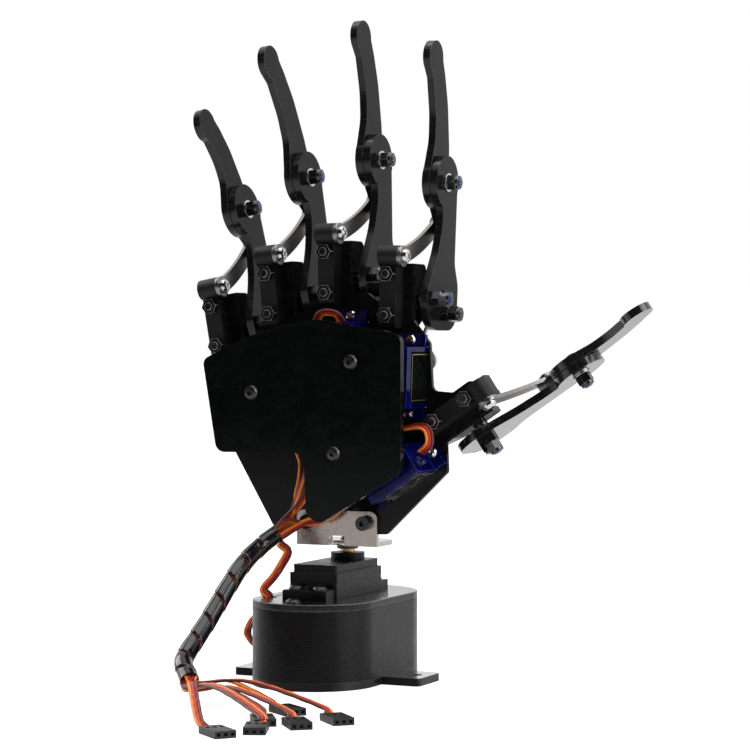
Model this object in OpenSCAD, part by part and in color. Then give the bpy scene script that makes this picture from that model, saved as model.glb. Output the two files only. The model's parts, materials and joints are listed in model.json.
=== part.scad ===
// Dexterous robot hand: five linkage fingers on a folded palm plate, which
// turns on a servo set in a small foot. The palm faces -Y, the fingers point
// up, and the row's origin is midway between the two foot holes.

/* [Foot] */
// Radius of the foot's rounded ends
foot_r = 24; // [23.5:0.25:26]
// Straight length between the rounded ends
foot_straight = 35; // [33:0.5:38]
// Thickness of the bottom plate
floor_t = 3; // [2.5:0.25:4]
// Room between the turning servo's case and the bottom plate
servo_room = 3; // [1:0.25:4]
// Thickness of the housing's wall
wall_t = 2.4; // [1.8:0.2:2.8]
// Thickness of the lid
lid_t = 2.7; // [2:0.1:3.2]
// Distance between the two foot holes
foot_hole_pitch = 68; // [66:0.5:70]
// Radius of a foot hole
foot_hole_r = 2.2; // [1.6:0.1:2.6]
// Width of a foot tab
tab_w = 20; // [16:0.5:24]
// Metal left outside a foot hole
tab_margin = 3.3; // [2.5:0.1:4]
// Radius of the lead hole in the lid
lead_hole_r = 3; // [2.8:0.1:3.2]

/* [Turning servo] */
// Length of the case, front to back
pan_len = 40; // [39:0.25:41]
// Width of the case
pan_w = 20; // [19:0.25:20.5]
// Height of the case
pan_h = 36; // [34:0.5:37]
// Length across the mounting ears
pan_ear_len = 54.5; // [53:0.5:56]
// Height of the case above the underside of its ears
case_rise = 9.8; // [9:0.1:10.4]
// Thickness of the ears
pan_ear_t = 3.8; // [3.2:0.1:4]
// Distance from the shaft to the middle of the case
shaft_offset = 10; // [9.5:0.25:10.5]
// Distance between the two screws of one ear
ear_pitch = 10; // [9:0.25:10.5]
// Height of the step on the case
step_h = 3; // [2.5:0.25:3.5]
// Height of the gear dome above the step
dome_h = 2.8; // [2.5:0.1:3.2]
// Radius of the gear dome
dome_r = 6.6; // [6:0.1:7]
// Radius of the splined shaft
spline_r = 2.9; // [2.7:0.05:3.1]

/* [Wrist] */
// Radius of the metal horn under the bracket
horn_r = 4.2; // [3.8:0.1:5]
// Thickness of the metal horn
horn_t = 1.7; // [1.4:0.1:2.2]
// Height of spline left open under the horn
spline_show = 1.3; // [1:0.1:1.6]
// Width of the bracket
bracket_w = 34.4; // [33.4:0.2:35.4]
// Depth of the bracket's floor
bracket_d = 20; // [19:0.25:20.5]
// Height of the bracket's upright flange
flange_h = 13.5; // [13:0.25:14.5]
// Thickness of the bracket's sheet
bracket_t = 1.8; // [1.5:0.1:2]
// Distance between the two wrist bolts
wrist_pitch = 24; // [23:0.25:25]
// Height of the wrist bolts above the bracket's floor
wrist_bolt_z = 9; // [8.5:0.25:9.5]

/* [Palm] */
// Thickness of the palm's sheet
palm_t = 1.8; // [1.5:0.1:1.9]
// Distance from the turning axis to the palm's front face
palm_reach = 8; // [7.8:0.1:8.4]
// Gap between the bracket's floor and the palm's bottom edge
palm_lift = 3; // [2.5:0.25:3.5]
// Width of a finger tab
tab_across = 12; // [11.6:0.1:12.6]
// Width of the thumb's tab
thumb_across = 14.5; // [13.5:0.1:15]
// Height of a finger tab above its pivot
tab_top = 13; // [12:0.25:13.5]
// Height of a finger ear below its pivot
ear_drop = 7; // [6:0.25:8]
// Depth of a folded ear behind the front face
ear_depth = 10.3; // [9.6:0.1:10.4]

/* [Cover] */
// Thickness of the cover
cover_t = 3; // [2.5:0.1:3.5]
// Length of the standoffs behind the cover
standoff_len = 20; // [19.6:0.1:21]
// Radius across a standoff's corners
standoff_r = 3; // [2.6:0.1:3.2]

/* [Finger places] */
// Sideways place of the index finger's pivot
index_x = 32.1; // [31.6:0.1:32.5]
// Height of the index finger's pivot
index_z = 146; // [145:0.25:147]
// Sideways lean of the index finger
index_lean = 2; // [1:0.25:3]
// Sideways place of the middle finger's pivot
middle_x = 6.2; // [5.7:0.1:6.7]
// Height of the middle finger's pivot
middle_z = 155.2; // [154:0.2:156]
// Sideways lean of the middle finger
middle_lean = -1; // [-2:0.25:0]
// Sideways place of the ring finger's pivot
ring_x = -18.7; // [-19.2:0.1:-18.2]
// Height of the ring finger's pivot
ring_z = 147.7; // [146.7:0.1:148.7]
// Sideways lean of the ring finger
ring_lean = -5; // [-6:0.25:-4]
// Sideways place of the little finger's pivot
little_x = -42.5; // [-43:0.1:-42]
// Height of the little finger's pivot
little_z = 135.9; // [135:0.1:136.8]
// Sideways lean of the little finger
little_lean = -10; // [-11:0.25:-9]
// Sideways place of the thumb's pivot
thumb_x = 53.6; // [53.1:0.1:54.1]
// Height of the thumb's pivot
thumb_z = 96.5; // [96:0.1:97]
// Sideways lean of the thumb
thumb_lean = 56; // [55:0.25:57]

/* [Finger linkage] */
// Thickness of the finger plates
plate_t = 3; // [2.8:0.05:3.1]
// Depth of the root pivot behind the palm's front face
pivot_depth = 4.9; // [4.8:0.05:5.1]
// Distance of the knuckle behind the root pivot
knuckle_y = 11.5; // [11:0.1:12]
// Height of the knuckle above the root pivot
knuckle_z = 44.7; // [44:0.1:45.5]
// Radius of the round knuckle ends
knuckle_r = 10.2; // [9.6:0.1:10.6]
// Distance of the link's root pivot before the finger's
link_root_y = -12.2; // [-12.6:0.1:-11.8]
// Height of the link's root pivot above the finger's
link_root_z = 15.6; // [15.2:0.1:16]
// Distance of the lever's pin behind the knuckle
lever_y = 8; // [7.6:0.1:8.4]
// Distance of the lever's pin below the knuckle
lever_drop = 15.3; // [15:0.1:15.8]
// Distance of the drive pin behind the root pivot
drive_y = 10.5; // [10.2:0.1:10.8]
// Distance of the drive pin below the root pivot
drive_drop = 5.7; // [5.4:0.1:6]
// Thickness of the steel link
link_t = 1.5; // [1.2:0.05:1.6]
// Width of the steel link's round ends
link_w = 8; // [7:0.1:8.4]
// Height of the steel link's bow
link_bow = 1.6; // [1:0.1:2.4]
// Curl of the ring and little fingers at rest
rest_curl = 7; // [4:0.25:8]
// Reach of a long fingertip above its knuckle
long_tip = 53.8; // [52:0.2:55]
// Reach of a short fingertip above its knuckle
short_tip = 43; // [42:0.2:45]
// Reach of the thumb's tip above its knuckle
thumb_tip = 38.4; // [37.4:0.2:39.4]
// Height of the thumb's root pivot above the other fingers' place for it
thumb_rise = 4.2; // [3.6:0.1:4.6]
// Radius of a fingertip
tip_r = 6.3; // [5.8:0.1:6.6]

/* [Finger servos] */
// Length of a finger servo's case
servo_len = 22.8; // [22.4:0.1:23]
// Width of a finger servo's case
servo_w = 12.2; // [11.8:0.1:12.4]
// Depth of the case in front of its ears
servo_front = 15.9; // [15.4:0.1:16.2]
// Depth of the case behind its ears' front face
servo_back = 6.6; // [6.2:0.1:6.8]
// Thickness of the ears
servo_ear_t = 2.2; // [2:0.1:2.4]
// Length across the ears
servo_ear_len = 32.2; // [31.6:0.1:32.6]
// Distance between the two ear screws
servo_pitch = 27.8; // [27.4:0.1:28]
// Distance of the servo's shaft below the finger's pivot
servo_drop = 24; // [23.6:0.1:24.4]
// Length of the horn's arm
arm_len = 11; // [10.6:0.1:11.4]

/* [Leads] */
// Radius of the wrapped bundle of leads
wrap_r = 3.6; // [3.4:0.1:3.9]
// Radius of one loose lead
lead_r = 1.1; // [1:0.1:1.4]
// Length of a lead's plug
plug_len = 14; // [12:0.5:15]

/* [Fasteners] */
// Radius of an M3 screw's shank
bolt_r = 1.5; // [1.4:0.05:1.5]
// Radius of an M3 screw's head
head_r = 2.8; // [2.6:0.05:2.85]
// Height of an M3 button head
head_h = 1.7; // [1.5:0.1:1.9]
// Width across the flats of an M3 nut
nut_af = 5.5; // [5.3:0.1:5.6]
// Thickness of an M3 nut
nut_h = 2.4; // [2.2:0.1:2.6]
// Running clearance round a pin
run_gap = 0.05; // [0.03:0.01:0.08]
// Air gap between pieces that pass each other
air_gap = 0.3; // [0.25:0.05:0.4]

/* [Hidden] */
$fn = 48;
soft = 24;
black = [0.07, 0.07, 0.075];
gloss = [0.03, 0.03, 0.035];
steel = [0.66, 0.65, 0.63];
chrome = [0.8, 0.8, 0.82];
brass = [0.78, 0.6, 0.25];
blue = [0.1, 0.14, 0.55];
dark = [0.12, 0.12, 0.13];

FINGERS = ["index", "middle", "ring", "little", "thumb"];
finger_x = [index_x, middle_x, ring_x, little_x, thumb_x];
finger_z = [index_z, middle_z, ring_z, little_z, thumb_z];
finger_lean = [index_lean, middle_lean, ring_lean, little_lean, thumb_lean];
finger_tip = [long_tip, long_tip, long_tip, short_tip, thumb_tip];
finger_curl = [0, 0, rest_curl, rest_curl, 0];

// Heights of the foot and its servo
case_z = floor_t + servo_room;
ear_z = case_z + pan_h - case_rise;
lid_z = ear_z - lid_t;
wall_h = lid_z - floor_t;
case_top = case_z + pan_h;
step_top = case_top + step_h;
dome_top = step_top + dome_h;
horn_z = dome_top + spline_show;
bracket_z = horn_z + horn_t;
tab_end = foot_hole_pitch / 2 + foot_hole_r + tab_margin;
tab_corner = 2;

// Places of the palm, measured from the turning axis
palm_face = shaft_offset - palm_reach;
palm_foot = bracket_z + bracket_t + palm_lift;
pivot_at = palm_face + pivot_depth;
cover_back = palm_face - standoff_len;
standoff_at = [[-25.7, 110], [16.4, 121.8], [9.3, 87.3]];

bend_r = 0.3;

// Layers of a finger, counted outwards from its ear
link_in = -3;
link_out = link_in + link_t;
pin_in = -5.4;
distal_in = link_out + 0.15;
distal_out = distal_in + plate_t;
proximal_in = distal_out + 0.45;
proximal_out = proximal_in + plate_t;

// The crossed four-bar linkage: knuckle, lever's pin and link's root
knuckle_at = [knuckle_y, knuckle_z];
function root_at(i) = [0, i == 4 ? thumb_rise : 0];
lever_at = [lever_y, -lever_drop];
link_root = [link_root_y, link_root_z];
function drive_at(i) = root_at(i) + [drive_y, -drive_drop];
lever_r = norm(lever_at);
link_len = norm(knuckle_at + lever_at - link_root);

function turned(p, a) = [p[0] * cos(a) - p[1] * sin(a), p[0] * sin(a) + p[1] * cos(a)];
function bearing(p) = atan2(p[1], p[0]);

// Where the lever's pin is when the finger's first plate has its rest curl:
// the far crossing of two circles, round the knuckle and the link's root
function lever_pin(i) =
  let (k = turned(knuckle_at, finger_curl[i]), d = norm(link_root - k), u = (link_root - k) / d,
       along = (lever_r * lever_r - link_len * link_len + d * d) / (2 * d),
       across = sqrt(lever_r * lever_r - along * along))
  k + along * u + across * [-u[1], u[0]];
function tip_turn(i) =
  bearing(lever_pin(i) - turned(knuckle_at, finger_curl[i])) - bearing(lever_at);

// Outline with each corner [x, y, radius] rounded by an arc
function corner(p, r) = [p[0], p[1], r];
function corner_arc(a, b, c, steps = 6) =
  let (p = [b[0], b[1]], u = [a[0], a[1]] - p, v = [c[0], c[1]] - p,
       un = u / norm(u), vn = v / norm(v), half = acos(max(-1, min(1, un * vn))) / 2,
       r = b[2], mid = (un + vn) / norm(un + vn), centre = p + mid * r / sin(half),
       from = p + un * r / tan(half) - centre, to = p + vn * r / tan(half) - centre,
       turn = bearing(to) - bearing(from),
       sweep = turn > 180 ? turn - 360 : turn < -180 ? turn + 360 : turn)
  r == 0 ? [p] : [for (i = [0 : steps]) centre + turned(from, sweep * i / steps)];
function rounded(pts, steps = 6) =
  let (n = len(pts))
  [for (i = [0 : n - 1]) each corner_arc(pts[(i + n - 1) % n], pts[i], pts[(i + 1) % n], steps)];

// A tapered arm from p, where it is 2 pw wide, to a round end at q
function arm_outline(p, pw, q, qr) =
  let (u = (q - p) / norm(q - p), n = [-u[1], u[0]], tip = q + qr * u)
  rounded([
    corner(p - pw * n, 0), corner(tip - qr * n, 0.96 * qr),
    corner(tip + qr * n, 0.96 * qr), corner(p + pw * n, 0)], 8);

// A band of even width along an arc from p to q that bows out by rise
function bowed_band(p, q, rise, half_w, steps = 12) =
  let (c = norm(q - p), r = (c * c / 4 + rise * rise) / (2 * rise),
       mid = (p + q) / 2, n = [-(q - p)[1], (q - p)[0]] / c,
       centre = mid - n * (r - rise), a0 = bearing(p - centre), a1 = bearing(q - centre),
       turn = a1 - a0, sweep = turn > 180 ? turn - 360 : turn < -180 ? turn + 360 : turn)
  concat(
    [for (i = [0 : steps]) centre + (r + half_w) * [cos(a0 + sweep * i / steps), sin(a0 + sweep * i / steps)]],
    [for (i = [steps : -1 : 0]) centre + (r - half_w) * [cos(a0 + sweep * i / steps), sin(a0 + sweep * i / steps)]]
  );

// A tube swept along a route by a frame that is carried from ring to ring
function unit(v) = v / norm(v);
function spline_point(a, b, c, d, t) =
  0.5 * (2 * b + (c - a) * t + (2 * a - 5 * b + 4 * c - d) * t * t + (3 * b - a - 3 * c + d) * t * t * t);
function smooth_route(pts, steps) =
  let (n = len(pts), p = concat([2 * pts[0] - pts[1]], pts, [2 * pts[n - 1] - pts[n - 2]]))
  concat([for (i = [0 : n - 2]) for (k = [0 : steps - 1])
            spline_point(p[i], p[i + 1], p[i + 2], p[i + 3], k / steps)], [pts[n - 1]]);
function route_dir(route, i) =
  unit(route[min(i + 1, len(route) - 1)] - route[max(i - 1, 0)]);
function side_dir(route, i, before) =
  let (d = route_dir(route, i)) unit(before - (before * d) * d);
function side_dirs(route, i, before) =
  i >= len(route) ? [] :
  let (s = side_dir(route, i, before)) concat([s], side_dirs(route, i + 1, s));

module tube_along(route, r, sides) {
  n = len(route);
  sideways = side_dirs(route, 0, unit(cross(route_dir(route, 0), [0.31, 0.22, 0.93])));
  points = [for (i = [0 : n - 1]) for (k = [0 : sides - 1])
    let (s = sideways[i], u = cross(route_dir(route, i), s), a = 360 * k / sides)
    route[i] + r * (cos(a) * s + sin(a) * u)];
  walls = [for (i = [0 : n - 2]) for (k = [0 : sides - 1])
    let (a = i * sides + k, b = i * sides + (k + 1) % sides) [a, a + sides, b + sides, b]];
  polyhedron(points, concat([[for (k = [0 : sides - 1]) k]], walls,
    [[for (k = [sides - 1 : -1 : 0]) (n - 1) * sides + k]]));
}

// Places a child in one finger's frame: x outwards, y back, z up the tab
module at_finger(i) {
  translate([finger_x[i], pivot_at, finger_z[i]])
    rotate([0, finger_lean[i], 0])
      children();
}

// Stands a flat outline drawn in (y, z) up as a plate that is t thick in x
module side_plate(x, t) {
  translate([x, 0, 0])
    rotate([90, 0, 90])
      linear_extrude(t)
        children();
}

// Round bar along x
module bar_x(x0, x1, at, r, fn = $fn) {
  translate([x0, at[0], at[1]])
    rotate([0, 90, 0])
      cylinder(h = x1 - x0, r = r, $fn = fn);
}

// Six-sided bar along x
module hex_x(x0, x1, at, af, turn = 30) {
  translate([x0, at[0], at[1]])
    rotate([0, 90, 0])
      rotate([0, 0, turn])
        cylinder(h = x1 - x0, r = af / sqrt(3), $fn = 6);
}

// Button-head screw along -y with its head's seat at y = 0, head towards -y
module button_screw(len, shank_r = bolt_r, r = head_r, h = head_h) {
  rotate([90, 0, 0])
    difference() {
      rotate_extrude($fn = 36)
        polygon([[0, 0], [r, 0], [r, h * 0.35], [r * 0.82, h * 0.8], [r * 0.5, h], [0, h]]);
      translate([0, 0, h * 0.45])
        cylinder(h = h, r = r * 0.36, $fn = 6);
    }
  rotate([-90, 0, 0])
    cylinder(h = len, r = shank_r);
}

module stadium(r, straight) {
  for (s = [-1, 1])
    translate([0, s * straight / 2])
      circle(r = r, $fn = 96);
  square([2 * r, straight], center = true);
}

// ---------------------------------------------------------------- foot

module foot_plate() {
  color(dark)
    difference() {
      union() {
        linear_extrude(floor_t)
          stadium(foot_r, foot_straight);
        linear_extrude(floor_t)
          polygon(rounded([
            [-tab_end, -tab_w / 2, tab_corner], [tab_end, -tab_w / 2, tab_corner],
            [tab_end, tab_w / 2, tab_corner], [-tab_end, tab_w / 2, tab_corner]]));
      }
      for (s = [-1, 1])
        translate([s * foot_hole_pitch / 2, 0, -1])
          cylinder(h = floor_t + 2, r = foot_hole_r);
    }
}

boss_r = 3.4;
boss_at = [for (s = [-1, 1]) [0, s * (foot_straight / 2 + foot_r - wall_t - boss_r + 0.6)]];

module foot_housing() {
  color(dark)
    translate([0, 0, floor_t])
      difference() {
        union() {
          difference() {
            linear_extrude(wall_h)
              stadium(foot_r, foot_straight);
            translate([0, 0, -1])
              linear_extrude(wall_h + 2)
                stadium(foot_r - wall_t, foot_straight);
          }
          for (b = boss_at)
            translate([b[0], b[1], 0])
              cylinder(h = wall_h, r = boss_r);
        }
        for (b = boss_at)
          translate([b[0], b[1], wall_h - 10])
            cylinder(h = 11, r = bolt_r);
      }
}

lead_hole_at = [-foot_r + 6.2, -foot_straight / 2 - 4];

module foot_lid() {
  color(dark)
    translate([0, 0, lid_z])
      difference() {
        linear_extrude(lid_t)
          stadium(foot_r, foot_straight);
        translate([-pan_w / 2 - 0.2, -pan_len / 2 - 0.2, -1])
          cube([pan_w + 0.4, pan_len + 0.4, lid_t + 2]);
        for (b = boss_at)
          translate([b[0], b[1], -1])
            cylinder(h = lid_t + 2, r = bolt_r + 0.2);
        for (sx = [-1, 1])
          for (sy = [-1, 1])
            translate([sx * ear_pitch / 2, sy * ear_hole_y, -1])
              cylinder(h = lid_t + 2, r = bolt_r);
        translate([lead_hole_at[0], lead_hole_at[1], -1])
          cylinder(h = lid_t + 2, r = lead_hole_r);
      }
}

// Screws that hold the lid down, with their heads on top of it
module foot_screws() {
  color(black)
    for (b = boss_at)
      translate([b[0], b[1], ear_z])
        rotate([-90, 0, 0])
          button_screw(lid_t + 6);
}

ear_hole_y = (pan_len + pan_ear_len) / 4 + 0.3;

module pan_servo() {
  color(black)
    difference() {
      union() {
        translate([0, 0, case_z])
          linear_extrude(pan_h)
            polygon(rounded([
              [-pan_w / 2, -pan_len / 2, 0.8], [pan_w / 2, -pan_len / 2, 0.8],
              [pan_w / 2, pan_len / 2, 0.8], [-pan_w / 2, pan_len / 2, 0.8]], 3));
        translate([-pan_w / 2 + 0.8, -pan_ear_len / 2, ear_z])
          cube([pan_w - 1.6, pan_ear_len, pan_ear_t]);
        for (s = [-1, 1])
          translate([-0.8, s > 0 ? pan_len / 2 - 0.1 : -pan_ear_len / 2 + 1.5, ear_z + pan_ear_t - 0.1])
            cube([1.6, (pan_ear_len - pan_len) / 2 - 1.4, 1.5]);
        translate([-pan_w / 2 + 0.9, -pan_len / 2 + 0.9, case_top - 0.1])
          linear_extrude(step_h + 0.1)
            polygon(rounded([
              [0, 0, 1.5], [pan_w - 1.8, 0, 1.5],
              [pan_w - 1.8, pan_len - 1.8, 1.5], [0, pan_len - 1.8, 1.5]], 3));
        translate([0, shaft_offset, step_top - 0.1])
          cylinder(h = dome_h + 0.1, r = dome_r);
      }
      translate([0, shaft_offset, step_top - 2])
        cylinder(h = dome_h + 3, r = spline_r + run_gap);
      for (sx = [-1, 1])
        for (sy = [-1, 1])
          translate([sx * ear_pitch / 2, sy * ear_hole_y, ear_z - 1])
            cylinder(h = pan_ear_t + 2, r = bolt_r);
      // seams round the case, where its three mouldings meet
      for (z = [case_z + 8, case_top - 4.2])
        difference() {
          translate([-pan_w / 2 - 1, -pan_len / 2 - 1, z])
            cube([pan_w + 2, pan_len + 2, 0.4]);
          translate([-pan_w / 2 + 0.3, -pan_len / 2 + 0.3, z - 1])
            cube([pan_w - 0.6, pan_len - 0.6, 3]);
        }
    }
}

module pan_servo_screws() {
  color(black)
    for (sx = [-1, 1])
      for (sy = [-1, 1])
        translate([sx * ear_pitch / 2, sy * ear_hole_y, ear_z + pan_ear_t])
          rotate([-90, 0, 0])
            button_screw(pan_ear_t + lid_t);
}

// ---------------------------------------------------------------- wrist

module pan_spline() {
  color(brass)
    translate([0, shaft_offset, step_top - 1.9])
      difference() {
        cylinder(h = bracket_z - step_top + 1.9, r = spline_r);
        translate([0, 0, 1])
          cylinder(h = 20, r = bolt_r);
      }
}

module pan_horn() {
  color(chrome)
    translate([0, shaft_offset, horn_z])
      difference() {
        cylinder(h = horn_t, r = horn_r);
        translate([0, 0, -1])
          cylinder(h = horn_t + 2, r = spline_r);
      }
}

module wrist_bracket() {
  half = bracket_w / 2;
  back = palm_reach + bracket_t;
  color(steel)
    translate([0, shaft_offset, bracket_z])
      difference() {
        union() {
          linear_extrude(bracket_t)
            polygon(rounded([
              [-half, -back, 0], [half, -back, 0],
              [half, bracket_d - back, 7.5], [-half, bracket_d - back, 7.5]]));
          translate([0, -palm_reach, 0])
            rotate([90, 0, 0])
              linear_extrude(bracket_t)
                polygon(rounded([
                  [-half, 0, 0], [half, 0, 0], [half, flange_h, 3], [-half, flange_h, 3]]));
        }
        translate([0, 0, -1])
          cylinder(h = bracket_t + 2, r = bolt_r);
        // half-round notch in the fold
        translate([0, -back - 0.5, -1])
          cylinder(h = bracket_t + 3, r = 3.4);
        for (s = [-1, 1])
          translate([s * wrist_pitch / 2, -palm_reach + 1, wrist_bolt_z])
            rotate([90, 0, 0])
              cylinder(h = bracket_t + 2, r = bolt_r);
      }
}

module wrist_screws() {
  color(black) {
    for (s = [-1, 1])
      translate([s * wrist_pitch / 2, palm_face - bracket_t, bracket_z + wrist_bolt_z]) {
        rotate([90, 0, 0])
          difference() {
            cylinder(h = 2.6, r = head_r);
            translate([0, 0, 1.2])
              cylinder(h = 2, r = 1.25, $fn = 6);
          }
        rotate([-90, 0, 0])
          cylinder(h = bracket_t + palm_t + nut_h + 1.2, r = bolt_r);
        translate([0, bracket_t + palm_t, 0])
          rotate([-90, 0, 0])
            cylinder(h = nut_h, r = nut_af / sqrt(3), $fn = 6);
      }
    translate([0, shaft_offset, bracket_z + bracket_t])
      rotate([-90, 0, 0])
        button_screw(bracket_t + horn_t + spline_show + 1);
  }
}

// ---------------------------------------------------------------- palm

// One finger's folded ear. The sheet's outline holds the tab beside it.
module finger_ear(i) {
  at_finger(i)
    side_plate(-palm_t, palm_t)
      polygon(rounded([
        [bend_r - pivot_depth, -ear_drop - 6, 0], [palm_t - bend_r - pivot_depth, -ear_drop - 6, 0],
        [ear_depth - pivot_depth, -ear_drop, 4], [ear_depth - pivot_depth, tab_top - 0.05, 3],
        [bend_r - pivot_depth, tab_top - 0.05, 0]]));
}

// A place in one finger's frame, seen from the front
function on_palm(i, p) =
  [finger_x[i] + p[0] * cos(finger_lean[i]) + p[1] * sin(finger_lean[i]),
   finger_z[i] - p[0] * sin(finger_lean[i]) + p[1] * cos(finger_lean[i])];
// The two upper corners of one finger's tab, left and right of its fold
fold_lap = palm_t / 3;
function tab_across_of(i) = i == 4 ? thumb_across : tab_across;
function tab_head(i) = [
  corner(on_palm(i, [-tab_across_of(i), tab_top]), 3),
  corner(on_palm(i, [-fold_lap, tab_top]), 0)];

// Front outline of the sheet, round from the index finger's fold. Each notch
// starts at the foot of a fold and ends at the next finger's tab.
palm_outline = concat(
  [corner(on_palm(0, [-fold_lap, -8]), 0), [38.5, 128.9, 2], [39.6, 110.8, 2.5],
   corner(on_palm(4, [-thumb_across, 3]), 1.5)],
  tab_head(4),
  [corner(on_palm(4, [-fold_lap, -9.5]), 0), [45.9, 80, 1.5],
   [20.6, palm_foot, 2], [-20, palm_foot, 2], [-28.4, palm_foot + 2, 2], [-46.1, 87.5, 3]],
  tab_head(3),
  [corner(on_palm(3, [-fold_lap, -7.8]), 0), corner(on_palm(3, [6, -7.2]), 1), corner(on_palm(2, [-tab_across, -8.6]), 1)],
  tab_head(2),
  [corner(on_palm(2, [-fold_lap, -7.8]), 0), corner(on_palm(2, [6, -7.2]), 1), corner(on_palm(1, [-tab_across, -5.4]), 1)],
  tab_head(1),
  [corner(on_palm(1, [-fold_lap, -7.8]), 0), corner(on_palm(1, [6, -7.2]), 1), corner(on_palm(0, [-tab_across, -4]), 1)],
  tab_head(0)
);

module palm_plate() {
  color(gloss)
    difference() {
      union() {
        translate([0, palm_face + palm_t, 0])
          rotate([90, 0, 0])
            linear_extrude(palm_t)
              polygon(rounded(palm_outline, 4));
        for (i = [0 : 4])
          finger_ear(i);
      }
      for (i = [0 : 4])
        at_finger(i) {
          bar_x(-palm_t - 1, 1, root_at(i), bolt_r);
          servo_window();
          for (s = [0, 1])
            translate([bracket_mid, -pivot_depth - 1, bracket_bolt_z - s * bracket_bolt_pitch])
              rotate([-90, 0, 0])
                cylinder(h = palm_t + 2, r = bolt_r);
          for (s = [-1, 1])
            translate([0, -pivot_depth - 1, -servo_mid_drop + s * servo_pitch / 2])
              rotate([-90, 0, 0])
                cylinder(h = palm_t + 2, r = 1);
        }
      for (s = [-1, 1])
        translate([s * wrist_pitch / 2, palm_face - 1, bracket_z + wrist_bolt_z])
          rotate([-90, 0, 0])
            cylinder(h = palm_t + 2, r = bolt_r);
      for (p = standoff_at)
        translate([p[0], palm_face - 1, p[1]])
          rotate([-90, 0, 0])
            cylinder(h = palm_t + 2, r = bolt_r);
    }
}

cover_outline = [
  [-47, 122.5, 3], [-29, 130.8, 20], [-11, 136, 20], [3, 137.8, 20],
  [36.9, 132, 4], [36.9, 80.5, 4], [3, 60.5, 4],
  [-2.4, 64, 3], [-3.6, 87.5, 5], [-41, 87, 4]
];

module palm_cover() {
  color(gloss)
    difference() {
      translate([0, cover_back, 0])
        rotate([90, 0, 0])
          linear_extrude(cover_t)
            polygon(rounded(cover_outline));
      for (p = standoff_at)
        translate([p[0], cover_back + 1, p[1]])
          rotate([90, 0, 0])
            cylinder(h = cover_t + 2, r = bolt_r);
    }
}

module cover_standoffs() {
  color(brass)
    for (p = standoff_at)
      translate([p[0], palm_face, p[1]])
        rotate([90, 0, 0])
          difference() {
            cylinder(h = standoff_len, r = standoff_r, $fn = 6);
            translate([0, 0, -1])
              cylinder(h = 8, r = bolt_r);
            translate([0, 0, standoff_len - 7])
              cylinder(h = 8, r = bolt_r);
          }
}

module cover_screws() {
  color(black)
    for (p = standoff_at) {
      translate([p[0], cover_back - cover_t, p[1]])
        button_screw(cover_t + 6);
      translate([p[0], palm_face + palm_t, p[1]])
        mirror([0, 1, 0])
          button_screw(palm_t + 6);
    }
}

// ---------------------------------------------------------------- link brackets

bracket_in = -11.5;
bracket_out = -4.7;
bracket_mid = (bracket_in + bracket_out) / 2;
bracket_proud = 7;
bracket_bolt_z = 8.75;
bracket_bolt_pitch = 15.6;
boss_half = 4;
boss_tip = link_in - 0.1;

module link_bracket() {
  front = -pivot_depth - bracket_proud;
  difference() {
    union() {
      side_plate(bracket_in, bracket_out - bracket_in)
        polygon(rounded([
          [-pivot_depth, -11.6, 0.5], [-pivot_depth, link_root_z + boss_half, 2],
          [link_root_y, link_root_z + boss_half, 0], [link_root_y, link_root_z, 0],
          [front, link_root_z, 0], [front, -11.6, 2]], 4));
      bar_x(bracket_in + 0.5, boss_tip, link_root, boss_half);
      side_plate(bracket_out - 0.1, boss_tip - bracket_out + 0.1)
        polygon([
          [link_root_y, link_root_z - boss_half], [-pivot_depth - 1.2, link_root_z - boss_half],
          [-pivot_depth - 1.2, link_root_z + boss_half], [link_root_y, link_root_z + boss_half]]);
    }
    bar_x(boss_tip - 7, boss_tip + 1, link_root, bolt_r);
    for (s = [0, 1])
      translate([bracket_mid, -pivot_depth - 20, bracket_bolt_z - s * bracket_bolt_pitch])
        rotate([-90, 0, 0])
          cylinder(h = 30, r = bolt_r);
  }
}

module link_brackets() {
  color(black)
    for (i = [0 : 4])
      at_finger(i)
        link_bracket();
}

module bracket_bolts() {
  color(dark)
    for (i = [0 : 4])
      at_finger(i)
        for (s = [0, 1])
          translate([bracket_mid, -pivot_depth, bracket_bolt_z - s * bracket_bolt_pitch]) {
            translate([0, palm_t, 0])
              mirror([0, 1, 0])
                button_screw(palm_t + bracket_proud + nut_h + 0.6);
            translate([0, -bracket_proud, 0])
              rotate([90, 0, 0])
                cylinder(h = nut_h, r = nut_af / sqrt(3), $fn = 6);
          }
}

// Pivot bolts of the fingers, each with its spacer and locking nut
module root_bolts() {
  color(dark)
    for (i = [0 : 4])
      at_finger(i) {
        bar_x(-palm_t - 1.7, -palm_t, root_at(i), head_r - 0.1);
        bar_x(-palm_t - 0.1, proximal_out + 8.4, root_at(i), bolt_r);
        difference() {
          bar_x(0, proximal_in - 0.1, root_at(i), 2.6);
          bar_x(-1, proximal_in + 1, root_at(i), bolt_r - 0.2);
        }
        hex_x(proximal_out + 0.1, proximal_out + 3.9, root_at(i), nut_af);
        hex_x(proximal_out + 3.8, proximal_out + 6.9, root_at(i), nut_af, 12);
        bar_x(proximal_out + 6.8, proximal_out + 7.9, root_at(i), nut_af / 2 - 0.1);
      }
}

module link_root_screws() {
  color(chrome)
    for (i = [0 : 4])
      at_finger(i) {
        bar_x(boss_tip - 6.5, link_out + 0.2, link_root, bolt_r);
        translate([link_out + 0.1, link_root[0], link_root[1]])
          rotate([90, 0, 90])
            pan_head();
      }
}

// Pan head with a crossed slot, rising along z
module pan_head() {
  difference() {
    rotate_extrude($fn = 36)
      polygon([[0, 0], [head_r, 0], [head_r, 0.9], [head_r * 0.86, 1.6], [head_r * 0.5, 2], [0, 2]]);
    for (a = [45, 135])
      rotate([0, 0, a])
        translate([-1.7, -0.32, 1])
          cube([3.4, 0.64, 2]);
  }
}

// ---------------------------------------------------------------- fingers

servo_shaft_x = 0;
servo_mid_drop = servo_drop + 5.9;

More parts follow.
